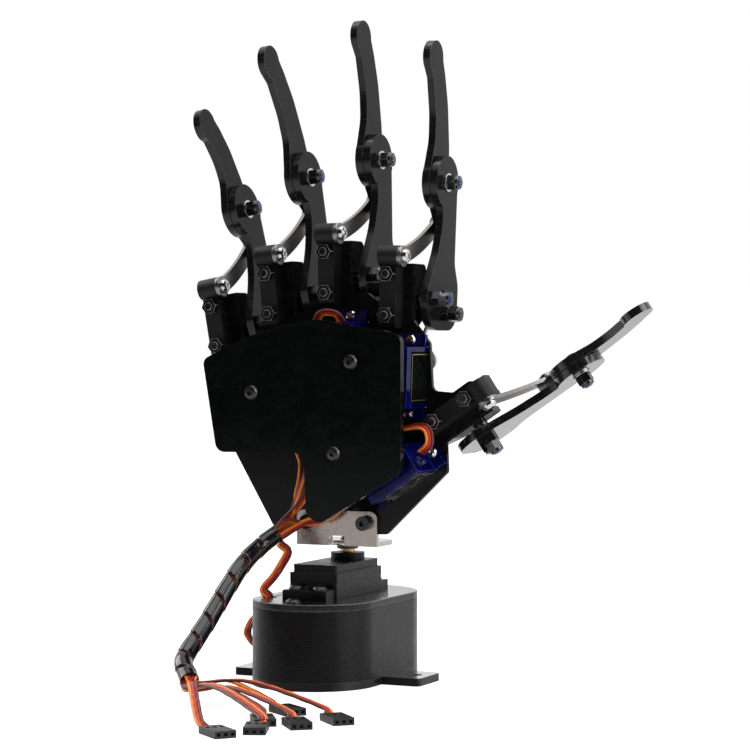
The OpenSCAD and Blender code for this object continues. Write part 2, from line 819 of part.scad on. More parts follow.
module servo_window() {
  translate([-servo_w / 2 - 0.15, -pivot_depth - 1, -servo_mid_drop - servo_len / 2 - 0.15])
    cube([servo_w + 0.3, palm_t + 2, servo_len + 0.3]);
}

module finger_servo(i) {
  color(blue)
    at_finger(i)
      translate([0, -pivot_depth, -servo_mid_drop])
        difference() {
          union() {
            translate([-servo_w / 2, -servo_front - servo_ear_t, -servo_len / 2])
              cube([servo_w, servo_front + servo_ear_t + servo_back - servo_ear_t, servo_len]);
            translate([-servo_w / 2, -servo_ear_t, -servo_ear_len / 2])
              cube([servo_w, servo_ear_t, servo_ear_len]);
            translate([0, servo_back - servo_ear_t - 0.1, 5.9])
              rotate([-90, 0, 0])
                cylinder(h = 4, r = 5.9);
            translate([0, servo_back - servo_ear_t - 0.1, -0.6])
              rotate([-90, 0, 0])
                cylinder(h = 4, r = 2.9);
          }
          for (s = [-1, 1])
            translate([0, -servo_ear_t - 1, s * servo_pitch / 2])
              rotate([-90, 0, 0])
                cylinder(h = servo_ear_t + 2, r = 1);
          // seam between the case and its bottom cover
          for (y = [-servo_front - servo_ear_t + 4.2, servo_back - servo_ear_t - 5])
            difference() {
              translate([-servo_w, y, -servo_len])
                cube([2 * servo_w, 0.3, 2 * servo_len]);
              translate([-servo_w / 2 + 0.25, y - 1, -servo_len / 2 + 0.25])
                cube([servo_w - 0.5, 3, servo_len - 0.5]);
              translate([-servo_w, -servo_ear_t - 0.05, -servo_len])
                cube([2 * servo_w, servo_ear_t + 0.1, 2 * servo_len]);
            }
          // bore of the output shaft
          translate([0, servo_back - servo_ear_t, 5.9])
            rotate([-90, 0, 0])
              cylinder(h = 5, r = 2.2 + run_gap);
        }
}

module servo_screws() {
  color(chrome)
    for (i = [0 : 4])
      at_finger(i)
        for (s = [-1, 1])
          translate([0, -pivot_depth - servo_ear_t, -servo_mid_drop + s * servo_pitch / 2])
            button_screw(servo_ear_t + palm_t, 1, 2.1, 1.4);
}

// First plate of a finger, from its root pivot to the knuckle
module proximal(i) {
  ky = knuckle_at[0];
  kz = knuckle_at[1];
  low = -12.2 + 0.45 * root_at(i)[1];
  color(gloss)
    at_finger(i)
      rotate([finger_curl[i], 0, 0])
        difference() {
          side_plate(proximal_in, plate_t) {
            translate(knuckle_at)
              circle(r = knuckle_r, $fn = 72);
            polygon(rounded([
              [-4.4, low, 10.4], [drive_y + 13.6, low, 8],
              [drive_y + 13.9, 5, 8], [ky + 9.1, 13.5, 10], [ky + 9.4, kz - 4, 0],
              [ky - 5, kz - 4, 0], [ky - 2.7, kz - 13.7, 20], [ky - 6.6, kz - 26.7, 30],
              [-4.2, 2.6, 5]]));
          }
          bar_x(proximal_in - 1, proximal_out + 1, root_at(i), bolt_r + run_gap);
          bar_x(proximal_in - 1, proximal_out + 1, knuckle_at, bolt_r);
          bar_x(proximal_in - 1, proximal_out + 1, drive_at(i), bolt_r);
        }
}

// Knuckle bolt and drive pin, which turn with the first plate
module proximal_bolts(i) {
  k = knuckle_at;
  color(dark)
    at_finger(i)
      rotate([finger_curl[i], 0, 0]) {
        // knuckle: head on the inner side, washer and locking nut outside
        translate([distal_in - 0.1, k[0], k[1]])
          rotate([90, 0, -90])
            pan_head();
        bar_x(distal_in - 0.2, proximal_out + 5.6, k, bolt_r);
        bar_x(distal_out + 0.1, proximal_in, k, 3.4);
        bar_x(proximal_out, proximal_out + 0.6, k, 3.5);
        hex_x(proximal_out + 0.6, proximal_out + 3.9, k, nut_af);
        bar_x(proximal_out + 3.8, proximal_out + 5, k, nut_af / 2 - 0.1);
        // drive pin: head and plain shank inside for the rod's eye, nuts outside
        nuts = i == 4 ? 0 : 3.1;
        bar_x(pin_in, proximal_out + nuts + 5.1, drive_at(i), bolt_r);
        translate([pin_in + 0.1, drive_at(i)[0], drive_at(i)[1]])
          rotate([90, 0, -90])
            pan_head();
        if (nuts > 0)
          hex_x(proximal_out, proximal_out + nuts + 0.1, drive_at(i), nut_af);
        hex_x(proximal_out + nuts, proximal_out + nuts + 3.7, drive_at(i), nut_af, 18);
        bar_x(proximal_out + nuts + 3.6, proximal_out + nuts + 4.6, drive_at(i), nut_af / 2 - 0.1);
      }
}

// Second plate: a waisted finger above the knuckle and a lever below it
module distal(i) {
  k = turned(knuckle_at, finger_curl[i]);
  reach = finger_tip[i] / 51.6;
  ease = min(1, reach * reach);
  tip = [-6.5, finger_tip[i] - tip_r];
  color(gloss)
    at_finger(i)
      translate([0, k[0], k[1]])
        rotate([tip_turn(i), 0, 0])
          difference() {
            side_plate(distal_in, plate_t) {
              circle(r = knuckle_r, $fn = 72);
              polygon(arm_outline([0, 0], knuckle_r - 2.6, lever_at, 4.4));
              translate(tip)
                circle(r = tip_r, $fn = 48);
              polygon(rounded([
                [8.6, 5.6, 0], [8, 14 * reach, 20 * ease], [5.6, 29 * reach, 30 * ease], [2, 40 * reach, 14 * ease],
                [tip[0] + tip_r * 0.6, tip[1] + tip_r * 0.8, 0], [tip[0] - 3, tip[1], 0],
                [tip[0] - tip_r * 0.86, tip[1] - tip_r * 0.5, 0.8],
                [tip[0] - 1.9, tip[1] - 7.7 * reach, 1.5], [-5.2, 25 * reach, 30 * ease], [-5, 15 * reach, 16 * ease],
                [-8.6, 5.4, 0]], 5));
            }
            bar_x(distal_in - 1, distal_out + 1, [0, 0], bolt_r + run_gap);
            bar_x(distal_in - 1, distal_out + 1, lever_at, 1.25);
          }
}

// Curved steel link with the screw at its lever end
module link(i) {
  far = lever_pin(i);
  color(steel)
    at_finger(i) {
      difference() {
        side_plate(link_in, link_t) {
          for (p = [link_root, far])
            translate(p)
              circle(r = link_w / 2, $fn = 48);
          polygon(bowed_band(far, link_root, link_bow, link_w / 2 - 1));
        }
        bar_x(link_in - 1, link_out + 1, link_root, bolt_r + run_gap);
        bar_x(link_in - 1, link_out + 1, far, bolt_r);
      }
      bar_x(link_in - 0.1, link_out, far, bolt_r);
      translate([link_in, far[0], far[1]])
        rotate([90, 0, -90])
          pan_head();
    }
}

// The horn swings behind its servo and lifts the rod as the finger bends
horn_ratio = 1.095;
horn_down = 33;
rod_y = drive_y + 0.57;
rod_r = 0.9;
eye_bore = bolt_r + 1.05;
eye_r = eye_bore + 1.6;
eye_w = 3;
eye_x = -0.9;
arm_t = 1.6;
arm_y = rod_y - rod_r - 0.6 - arm_t;
dome_y = servo_back - servo_ear_t - pivot_depth + 3.9;
eye_drop = 0.35;

function horn_angle(i) = horn_ratio * finger_curl[i] - horn_down;
function horn_pin(i) = [-arm_len * cos(horn_angle(i)), -servo_drop + arm_len * sin(horn_angle(i))];
function eye_from_pin(i) = [eye_x + arm_len * cos(horn_down),
  servo_drop + arm_len * sin(horn_down) - drive_drop - eye_drop + root_at(i)[1]];

module horn(i) {
  arm_end = arm_len * [-cos(horn_angle(i)), sin(horn_angle(i))];
  color([0.9, 0.9, 0.88])
    at_finger(i)
      translate([0, 0, -servo_drop]) {
        translate([0, dome_y - 3.4, 0])
          rotate([-90, 0, 0])
            cylinder(h = 4, r = 2.2);
        translate([0, dome_y + air_gap, 0])
          rotate([-90, 0, 0])
            cylinder(h = arm_y - dome_y - air_gap + arm_t + 0.8, r = 3.5);
        translate([0, arm_y + arm_t, 0])
          rotate([90, 0, 0])
            linear_extrude(arm_t)
              difference() {
                polygon(arm_outline([0, 0], 3.1, arm_end, 2.4));
                translate(arm_end)
                  circle(r = rod_r + run_gap, $fn = 32);
              }
      }
}

// Push rod: a bent wire from the horn's hole up to the eye on the drive pin
module rod(i) {
  pin = horn_pin(i);
  eye = pin + eye_from_pin(i);
  foot = [pin[0], rod_y, pin[1]];
  top = [eye[0], rod_y, eye[1] - eye_r + 0.6];
  run = top - foot;
  color(chrome)
    at_finger(i) {
      translate([pin[0], arm_y - 1.2, pin[1]])
        rotate([-90, 0, 0])
          cylinder(h = rod_y - arm_y + 1.2, r = rod_r);
      translate([pin[0], arm_y - 1.2, pin[1]])
        rotate([90, 0, 0])
          cylinder(h = 0.8, r = 1.6);
      translate(foot)
        sphere(r = rod_r, $fn = 32);
      translate(foot)
        rotate([0, atan2(run[0], run[2]), 0])
          cylinder(h = norm(run), r = rod_r);
      difference() {
        bar_x(eye[0] - eye_w / 2, eye[0] + eye_w / 2, [rod_y, eye[1]], eye_r);
        bar_x(eye[0] - eye_w, eye[0] + eye_w, [rod_y, eye[1]], eye_bore);
      }
    }
}

// ---------------------------------------------------------------- leads

// Where the bundle enters its wrap, and the wrap's route to the floor
wrap_route = smooth_route([
  [-18.9, -13.4, 55.7], [-23.4, -20, 50.4], [-25.7, -32, 42.6], [-27.9, -52, 25.2],
  [-28.4, -66, 15.2], [-26.2, -72, 12], [-19.7, -79, 7.6]], 2);
wrap_in = wrap_route[0];
wrap_in_dir = route_dir(wrap_route, 0);
wrap_end = wrap_route[len(wrap_route) - 1];
wrap_end_dir = route_dir(wrap_route, len(wrap_route) - 1);

module lead_wrap() {
  color(black)
    tube_along(wrap_route, wrap_r, 12);
}

// Place k of six round a bundle's axis
function bundle_place(at, dir, k, spread) =
  let (s = unit(cross(dir, [1, 0, 0])), u = cross(dir, s), a = 60 * k)
  at + spread * (cos(a) * s + sin(a) * u);

palm_lead_routes = [
  [[30.8, -9, 127.8], [29.5, -11.5, 131], [24.5, -12, 131.5], [21.8, -9, 124], [21, -8, 108],
   [16, -5, 88], [8, -3.6, 72], [0.6, -4.5, 62.5], [-8, -8.6, 59.6]],
  [[6.7, -9, 137], [5.5, -12, 141.5], [-1, -13, 141.5], [-4.5, -9, 132], [-4.8, -8, 108],
   [-5.4, -7.4, 85], [-9.4, -8.4, 70]],
  [[-17, -9, 129.6], [-15.5, -12, 133.5], [-9.5, -12, 132], [-7.6, -9, 124], [-8, -8, 104],
   [-8.6, -7, 84], [-12.4, -8.6, 70]],
  [[-39.2, -9, 118.1], [-37.5, -12, 122.5], [-32, -12, 121.5], [-30.4, -9, 113], [-29.6, -8, 104],
   [-14, -5.6, 86], [-14.6, -5.8, 70]],
  [[40.1, -9.5, 87.9], [44.6, -12, 91.6], [43.4, -13, 97.4], [34, -10, 97], [21, -8, 93],
   [10, -6, 76], [2, -6, 65], [-6, -9.4, 61.4]]
];

module palm_leads() {
  color([0.75, 0.25, 0.1])
    for (k = [0 : 4])
      tube_along(concat(palm_lead_routes[k], [
        bundle_place(wrap_in - 6 * wrap_in_dir, wrap_in_dir, k, 2.4),
        bundle_place(wrap_in + wrap_in_dir, wrap_in_dir, k, 2.3)]), lead_r, 8);
}

// Each plug lies on the floor: [x, y, turn]
plug_at = [[20.5, -136.7, 52], [31.3, -122.6, 23], [24.1, -107, 34], [37, -108.6, 40], [19.3, -84.9, 54], [44.5, -95, 46]];
plug_w = 7.6;
plug_h = 2.6;

module lead_tails() {
  color([0.75, 0.25, 0.1])
    for (k = [0 : 5]) {
      start = bundle_place(wrap_end - wrap_end_dir, wrap_end_dir, k, 2.3);
      mouth = [plug_at[k][0], plug_at[k][1], plug_h / 2 + 0.1];
      inward = [-sin(plug_at[k][2]), cos(plug_at[k][2]), 0];
      near = mouth + 9 * inward + [0, 0, 2];
      tube_along([
        start, start + 5 * wrap_end_dir, 0.55 * start + 0.45 * near + [0, 0, 2.6],
        near, mouth + 2 * inward, mouth - 1 * inward], lead_r, 8);
    }
}

module lead_plugs() {
  color(black)
    for (p = plug_at)
      translate([p[0], p[1], 0])
        rotate([0, 0, p[2]])
          translate([-plug_w / 2, -plug_len, 0])
            cube([plug_w, plug_len, plug_h]);
}

// Lead of the turning servo, from the lid's hole up and over to the wrap
module pan_lead() {
  start = [lead_hole_at[0], lead_hole_at[1], ear_z - 6];
  color([0.75, 0.25, 0.1])
    tube_along(smooth_route([
      start, start + [0, 0, 6.2], [-20.4, -21.4, 35], [-17.8, -18, 39.6], [-15.9, -14.6, 44.4],
      [-14.2, -13, 49], [-16.4, -14.1, 51.5]], 2), lead_r, 8);
}

foot_plate();
foot_housing();
foot_lid();
foot_screws();
pan_servo();
pan_servo_screws();
pan_spline();
pan_horn();
wrist_bracket();
wrist_screws();
palm_plate();
palm_cover();
cover_standoffs();
cover_screws();
link_brackets();
bracket_bolts();
root_bolts();
link_root_screws();
servo_screws();
for (i = [0 : 4]) {
  finger_servo(i);
  proximal(i);
  proximal_bolts(i);
  distal(i);
  link(i);
  horn(i);
  rod(i);
}
lead_wrap();
palm_leads();
lead_tails();
lead_plugs();
pan_lead();
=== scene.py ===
import json
import math

import bpy
from mathutils import Matrix, Vector


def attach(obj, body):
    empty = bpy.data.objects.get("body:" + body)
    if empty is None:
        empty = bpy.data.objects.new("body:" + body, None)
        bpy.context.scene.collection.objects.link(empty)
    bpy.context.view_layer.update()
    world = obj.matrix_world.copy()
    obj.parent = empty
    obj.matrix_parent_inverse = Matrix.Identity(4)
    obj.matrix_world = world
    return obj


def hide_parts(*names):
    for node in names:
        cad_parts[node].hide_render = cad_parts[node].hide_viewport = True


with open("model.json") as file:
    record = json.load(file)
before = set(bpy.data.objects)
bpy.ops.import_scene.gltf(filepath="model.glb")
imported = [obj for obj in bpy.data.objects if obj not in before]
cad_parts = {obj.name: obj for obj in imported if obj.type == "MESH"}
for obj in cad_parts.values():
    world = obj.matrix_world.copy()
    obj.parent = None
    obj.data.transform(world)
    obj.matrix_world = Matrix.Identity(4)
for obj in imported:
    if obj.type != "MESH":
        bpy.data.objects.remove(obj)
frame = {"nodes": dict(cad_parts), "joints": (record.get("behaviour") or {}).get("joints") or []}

bl_info = {
    "name": "Robot hand dressing",
    "version": (1, 0, 0),
    "blender": (4, 5, 0),
    "location": "3D View > Sidebar > Robot hand",
    "description": "Leads, plugs, labels, finishes and a small studio for a five-finger robot hand",
    "category": "Object",
}

MM = 0.001
NODES = frame["nodes"]
JOINTS = {joint["name"]: joint for joint in frame["joints"]}
FINGERS = ("index", "middle", "ring", "little", "thumb")
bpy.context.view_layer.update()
LINK_ROOT = Vector((0, -12.2, 15.6)) * MM  # fixed end of a link in its finger's row frame


# ---------------------------------------------------------------- settings

class LeadSettings(bpy.types.PropertyGroup):
    strand_radius: bpy.props.FloatProperty(
        name="Strand radius", description="Radius of one insulated wire of a flat lead",
        default=0.56 * MM, min=0.3 * MM, max=0.8 * MM, unit="LENGTH")
    wrap_pitch: bpy.props.FloatProperty(
        name="Wrap pitch", description="Distance between two turns of the spiral wrap",
        default=10.4 * MM, min=6 * MM, max=16 * MM, unit="LENGTH")
    wrap_radius: bpy.props.FloatProperty(
        name="Wrap radius", description="Outer radius of the spiral wrap",
        default=3.6 * MM, min=3 * MM, max=4.5 * MM, unit="LENGTH")
    orange: bpy.props.FloatVectorProperty(
        name="Signal wire", description="Colour of the signal wire",
        default=(1.0, 0.27, 0.025), size=3, min=0, max=1, subtype="COLOR")
    red: bpy.props.FloatVectorProperty(
        name="Supply wire", description="Colour of the supply wire",
        default=(0.6, 0.022, 0.018), size=3, min=0, max=1, subtype="COLOR")
    brown: bpy.props.FloatVectorProperty(
        name="Ground wire", description="Colour of the ground wire",
        default=(0.15, 0.034, 0.026), size=3, min=0, max=1, subtype="COLOR")


class FinishSettings(bpy.types.PropertyGroup):
    acrylic: bpy.props.FloatVectorProperty(
        name="Acrylic", description="Body colour of the black acrylic plates",
        default=(0.006, 0.006, 0.0068), size=3, min=0, max=1, subtype="COLOR")
    cover: bpy.props.FloatVectorProperty(
        name="Cover", description="Body colour of the palm cover",
        default=(0.0022, 0.0028, 0.0026), size=3, min=0, max=1, subtype="COLOR")
    moulded: bpy.props.FloatVectorProperty(
        name="Moulded black", description="Colour of the printed and moulded black parts",
        default=(0.0085, 0.0085, 0.0092), size=3, min=0, max=1, subtype="COLOR")
    case_blue: bpy.props.FloatVectorProperty(
        name="Servo blue", description="Colour of the clear blue servo cases",
        default=(0.002, 0.003, 0.075), size=3, min=0, max=1, subtype="COLOR")
    nickel: bpy.props.FloatVectorProperty(
        name="Nickel", description="Colour of the plated wrist bracket",
        default=(0.66, 0.6, 0.56), size=3, min=0, max=1, subtype="COLOR")
    insert_blue: bpy.props.FloatVectorProperty(
        name="Nut insert", description="Colour of the nylon ring in a locking nut",
        default=(0.012, 0.07, 0.26), size=3, min=0, max=1, subtype="COLOR")
    edge_break: bpy.props.FloatProperty(
        name="Broken edge", description="Width of the small bevel on cut plates",
        default=0.16 * MM, min=0.05 * MM, max=0.4 * MM, unit="LENGTH")


class StudioSettings(bpy.types.PropertyGroup):
    lens: bpy.props.FloatProperty(
        name="Lens", description="Focal length of the camera, in millimetres",
        default=117.4, min=50, max=200)
    distance: bpy.props.FloatProperty(
        name="Distance", description="Distance from the turning axis to the camera",
        default=0.95, min=0.6, max=2, unit="LENGTH")
    turn: bpy.props.FloatProperty(
        name="Turn", description="Angle of the camera round the object from straight in front",
        default=math.radians(26), min=0, max=math.pi, unit="ROTATION")
    height: bpy.props.FloatProperty(
        name="Height", description="Height of the camera above the floor",
        default=0.13, min=0, max=1, unit="LENGTH")
    floor_size: bpy.props.FloatProperty(
        name="Floor size", description="Length of the floor's side",
        default=24, min=2, max=60, unit="LENGTH")
    ambient: bpy.props.FloatProperty(
        name="Ambient", description="Strength of the light from all round",
        default=0.35, min=0, max=2)


# ---------------------------------------------------------------- materials

class Finish:
    """A node material that reads Object coordinates, built a node at a time."""

    def __init__(self, name, turn=(0, 0, 0)):
        self.material = bpy.data.materials.new(name)
        self.material.use_nodes = True
        self.tree = self.material.node_tree
        self.shader = self.tree.nodes["Principled BSDF"]
        self.place = self.add("ShaderNodeTexCoord")
        self.mapping = self.add("ShaderNodeMapping")
        self.mapping.inputs["Rotation"].default_value = turn
        self.join(self.place.outputs["Object"], self.mapping.inputs["Vector"])

    def add(self, kind, **values):
        node = self.tree.nodes.new(kind)
        for key, value in values.items():
            if key in node.inputs:
                node.inputs[key].default_value = value
            else:
                setattr(node, key, value)
        return node

    def join(self, out, into):
        self.tree.links.new(out, into)

    def set(self, **values):
        for key, value in values.items():
            self.shader.inputs[key.replace("_", " ")].default_value = value
        return self

    def scaled(self, stretch):
        """Object coordinates in millimetres, times stretch."""
        scale = self.add("ShaderNodeVectorMath", operation="MULTIPLY")
        scale.inputs[1].default_value = [1000 * s for s in stretch]
        self.join(self.mapping.outputs["Vector"], scale.inputs[0])
        return scale.outputs["Vector"]

    def noise(self, size, stretch=(1, 1, 1), detail=3, rough=0.5):
        """Noise whose blotches are about size millimetres."""
        noise = self.add("ShaderNodeTexNoise", Scale=1 / size, Detail=detail, Roughness=rough)
        self.join(self.scaled(stretch), noise.inputs["Vector"])
        return noise.outputs["Fac"]

    def bands(self, size, axis="Z", distortion=0.0):
        """Even bands across an axis, size millimetres apart."""
        wave = self.add(
            "ShaderNodeTexWave", bands_direction=axis, Scale=math.tau / 20 / size,
            Distortion=distortion, Detail=2)
        self.join(self.scaled((1, 1, 1)), wave.inputs["Vector"])
        return wave.outputs["Fac"]

    def ramp(self, value, low, high, start=0.3, end=0.7):
        """A colour between low and high."""
        ramp = self.add("ShaderNodeValToRGB")
        for stop, colour, at in zip(ramp.color_ramp.elements, (low, high), (start, end)):
            stop.color = (*colour, 1)
            stop.position = at
        self.join(value, ramp.inputs["Fac"])
        return ramp.outputs["Color"]

    def span(self, value, low, high, start=0.3, end=0.7):
        """A number between low and high."""
        span = self.add("ShaderNodeMapRange")
        for key, number in (("From Min", start), ("From Max", end), ("To Min", low), ("To Max", high)):
            span.inputs[key].default_value = number
        self.join(value, span.inputs["Value"])
        return span.outputs["Result"]

    def blend(self, value, first, second):
        """Colour first where value is 0 and second where it is 1."""
        mix = self.add("ShaderNodeMix", data_type="RGBA")
        self.join(value, mix.inputs["Factor"])
        for socket, colour in ((mix.inputs[6], first), (mix.inputs[7], second)):
            if isinstance(colour, bpy.types.NodeSocket):
                self.join(colour, socket)
            else:
                socket.default_value = (*colour, 1)
        return mix.outputs[2]

    def colour(self, value):
        self.join(value, self.shader.inputs["Base Color"])
        return self

    def roughness(self, value):
        self.join(value, self.shader.inputs["Roughness"])
        return self

    def bump(self, value, depth, over=None):
        """Bump whose height is depth millimetres."""
        bump = self.add("ShaderNodeBump", Strength=1.0, Distance=depth * MM)
        self.join(value, bump.inputs["Height"])
        if over is not None:
            self.join(over, bump.inputs["Normal"])
        self.join(bump.outputs["Normal"], self.shader.inputs["Normal"])
        return bump.outputs["Normal"]


def shade(colour, times):
    """The colour times a number, kept within 1."""
    return tuple(min(1.0, channel * times) for channel in colour)


def cut_plate(name, colour, lean, specular, coat, gloss=0.16):
    """Polished acrylic sheet, leaning by lean degrees, with sawn, finely lined edges."""
    finish = Finish(name, turn=(0, -math.radians(lean), 0))
    finish.set(Specular_IOR_Level=specular, Coat_Weight=coat, Coat_Roughness=0.04, IOR=1.49)
    across = (math.cos(math.radians(lean)), 0, -math.sin(math.radians(lean)))
    normal = finish.add("ShaderNodeVectorMath", operation="DOT_PRODUCT")
    finish.join(finish.place.outputs["Normal"], normal.inputs[0])
    normal.inputs[1].default_value = across
    flat = finish.add("ShaderNodeMath", operation="ABSOLUTE")
    finish.join(normal.outputs["Value"], flat.inputs[0])
    face = finish.span(flat.outputs[0], 0, 1, 0.6, 0.85)
    lines = finish.noise(0.5, stretch=(0.05, 1, 1), detail=4, rough=0.7)
    cloud = finish.noise(9, detail=2)
    edge = finish.ramp(lines, shade(colour, 0.5), shade(colour, 3), 0.35, 0.8)
    finish.colour(finish.blend(face, edge, finish.ramp(cloud, shade(colour, 0.9), shade(colour, 1.35))))
    finish.join(finish.span(face, 0.45, specular, 0, 1), finish.shader.inputs["Specular IOR Level"])
    rough = finish.add("ShaderNodeMix", data_type="FLOAT")
    finish.join(face, rough.inputs["Factor"])
    finish.join(finish.span(lines, 0.8 * gloss, 0.3), rough.inputs[2])
    finish.join(finish.span(cloud, 0.75 * gloss, 1.2 * gloss), rough.inputs[3])
    finish.roughness(rough.outputs[0])
    depth = finish.add("ShaderNodeMath", operation="MULTIPLY")
    fade = finish.span(flat.outputs[0], 1, 0, 0.6, 0.85)
    finish.join(lines, depth.inputs[0])
    finish.join(fade, depth.inputs[1])
    finish.bump(depth.outputs[0], 0.03)
    return finish.material


def polished_sheet(name, colour, specular, gloss, speck=0.0):
    """A flat polished sheet with a faint clouded sheen; speck is the strength of its dust."""
    finish = Finish(name).set(Specular_IOR_Level=specular, IOR=1.49)
    cloud = finish.noise(6, stretch=(1, 1, 1.8), detail=4, rough=0.6)
    dust = finish.noise(0.35, detail=1)
    grain = finish.noise(1.6, detail=4, rough=0.6)
    sheen = finish.ramp(cloud, shade(colour, 0.8), shade(colour, 1.8))
    body = finish.blend(finish.span(grain, 0, 0.4), sheen, shade(colour, 2.4))
    finish.colour(finish.blend(finish.span(dust, 0, speck, 0.76, 0.8), body, (0.05, 0.05, 0.05)))
    finish.roughness(finish.span(cloud, 0.8 * gloss, 1.5 * gloss))
    finish.bump(finish.noise(3.5, detail=2), 0.012)
    return finish.material


def printed_plastic(name, colour, layer, gloss, specular, axis="Z", coat=0.0):
    """Printed plastic with fine layer lines across an axis; coat glosses what faces up."""
    finish = Finish(name).set(Specular_IOR_Level=specular, IOR=1.5, Coat_Roughness=0.06, Coat_IOR=2.0)
    cloud = finish.noise(5, detail=4)
    strands = finish.bands(layer, axis, distortion=0.6)
    wear = finish.noise(0.7, stretch=(1, 1, 0.5), detail=2)
    lines = finish.bands(2.2 * layer, axis, distortion=0.25)
    body = finish.ramp(cloud, shade(colour, 0.8), shade(colour, 1.25))
    body = finish.blend(finish.span(lines, 0, 0.6, 0.5, 1), body, shade(colour, 3.2))
    finish.colour(finish.blend(finish.span(wear, 0, 0.4, 0.7, 0.8), body, shade(colour, 3)))
    finish.roughness(finish.span(cloud, gloss, gloss + 0.12))
    if coat:
        upward = finish.add("ShaderNodeSeparateXYZ")
        finish.join(finish.place.outputs["Normal"], upward.inputs[0])
        finish.join(finish.span(upward.outputs["Z"], 0, coat, 0.7, 0.9), finish.shader.inputs["Coat Weight"])
    first = finish.bump(strands, 0.03)
    finish.bump(finish.noise(0.25, detail=2), 0.012, over=first)
    return finish.material


def moulded_plastic(name, colour, grain, gloss, specular=0.5):
    """Injection-moulded plastic with a fine spark-eroded grain."""
    finish = Finish(name).set(Specular_IOR_Level=specular, IOR=1.5)
    cloud = finish.noise(4, detail=3)
    finish.colour(finish.ramp(cloud, shade(colour, 0.8), shade(colour, 1.35)))
    finish.roughness(finish.span(cloud, gloss, gloss + 0.14))
    finish.bump(finish.noise(grain, detail=3, rough=0.6), 0.03)
    return finish.material


def oxide_steel(name, colour, gloss, metallic=0.85):
    """Black-oxide steel, rubbed bright in places."""
    finish = Finish(name).set(Metallic=metallic, Specular_IOR_Level=0.5)
    cloud = finish.noise(0.8, detail=4)
    rub = finish.noise(0.35, detail=2)
    body = finish.ramp(cloud, shade(colour, 0.7), shade(colour, 1.5))
    finish.colour(finish.blend(finish.span(rub, 0, 0.3, 0.6, 0.8), body, shade(colour, 3)))
    finish.roughness(finish.span(cloud, gloss, gloss + 0.1))
    finish.bump(finish.noise(0.5, detail=1), 0.004)
    return finish.material


def bright_metal(name, colour, gloss, brushed=None, turn=(0, 0, 0)):
    """Plated or ground metal; brushed is the stretch of its grain."""
    finish = Finish(name, turn=turn).set(Metallic=1.0)
    grain = finish.noise(0.35, stretch=brushed or (1, 1, 1), detail=5, rough=0.65)
    cloud = finish.noise(7, detail=3)
    body = finish.ramp(grain, shade(colour, 0.82), shade(colour, 1.08))
    finish.colour(finish.blend(finish.span(cloud, 0, 0.5), body, shade(colour, 0.8)))
    finish.roughness(finish.span(grain, gloss, gloss + 0.16))
    finish.bump(grain, 0.01 if brushed else 0.004)
    return finish.material


def clear_case(name, colour):
    """Clear blue plastic over dark works."""
    finish = Finish(name).set(Specular_IOR_Level=0.3, IOR=1.5)
    cloud = finish.noise(4.5, detail=2)
    finish.colour(finish.ramp(cloud, shade(colour, 0.25), shade(colour, 1.5), 0.35, 0.7))
    finish.roughness(finish.span(cloud, 0.1, 0.22))
    finish.bump(finish.noise(1.5, detail=2), 0.02)
    return finish.material


def painted_edge_highlight(name, colour, metallic=0.0):
    """Painted highlight: a lighter line along a sharp edge, its brightness mottled by noise."""
    finish = Finish(name).set(Metallic=metallic, Specular_IOR_Level=0.5)
    # the wear noise only mottles the brightness of the painted edge highlight
    wear = finish.noise(1.4, detail=3)
    finish.colour(finish.ramp(wear, shade(colour, 0.45), shade(colour, 1.4), 0.35, 0.65))
    finish.roughness(finish.span(wear, 0.25, 0.4))
    return finish.material


def wire_sleeve(name, colour):
    """Soft vinyl insulation with faint rub marks."""
    finish = Finish(name).set(Specular_IOR_Level=0.35, IOR=1.5)
    cloud = finish.noise(2.5, detail=3)
    finish.colour(finish.ramp(cloud, shade(colour, 0.78), shade(colour, 1.12)))
    finish.roughness(finish.span(cloud, 0.3, 0.45))
    finish.bump(finish.noise(0.4, detail=2), 0.01)
    return finish.material


# ---------------------------------------------------------------- helpers

def each(kind):
    """Names of the nodes of one kind on all five fingers."""
    return [kind + finger for finger in FINGERS]


def repaint(material, *names):
    """Gives CAD nodes their finish."""
    for name in names:
        for slot in NODES[name].material_slots:
            slot.material = material


def break_edges(width, *names, angle=35, rounded=True, rim=None, flatten=False):
    """A small bevel on CAD nodes' sharp edges, as a live modifier.

    rim is the bevel's material, which the callers make a painted edge highlight, flatten joins
    flat facets first so that the bevel keeps its width, and rounded weights the normals so that
    flat faces stay flat.
    """
    for name in names:
        obj = NODES[name]
        obj.modifiers.new("Weld", "WELD").merge_threshold = 0.002 * MM
        if flatten:
            facets = obj.modifiers.new("Facets", "DECIMATE")
            facets.decimate_type = "DISSOLVE"
            facets.angle_limit = math.radians(0.5)
        bevel = obj.modifiers.new("Edges", "BEVEL")
        bevel.width = width
        bevel.segments = 2
        bevel.limit_method = "ANGLE"
        bevel.angle_limit = math.radians(angle)
        if rim:
            obj.data.materials.append(rim)
            bevel.material = len(obj.data.materials) - 1
        if rounded:
            obj.modifiers.new("Normals", "WEIGHTED_NORMAL").weight = 100


def dress(obj, *materials):
    """Gives a new piece its materials in place of any that it has."""
    obj.data.materials.clear()
    for material in materials:
        obj.data.materials.append(material)


def deselect():
    """Nothing selected, in object mode."""
    if bpy.context.mode != "OBJECT":
        bpy.ops.object.mode_set(mode="OBJECT")
    bpy.ops.object.select_all(action="DESELECT")


def select_only(obj):
    deselect()
    obj.select_set(True)
    bpy.context.view_layer.objects.active = obj


def settle(obj):
    """Puts an object's place, turn and size into its mesh."""
    select_only(obj)
    bpy.ops.object.transform_apply(location=True, rotation=True, scale=True)
    return obj


def block(name, size, centre):
    """A box of that size round centre, in metres."""
    deselect()
    bpy.ops.mesh.primitive_cube_add(size=1, location=centre)
    obj = bpy.context.object
    obj.name = name
    obj.scale = size
    return settle(obj)


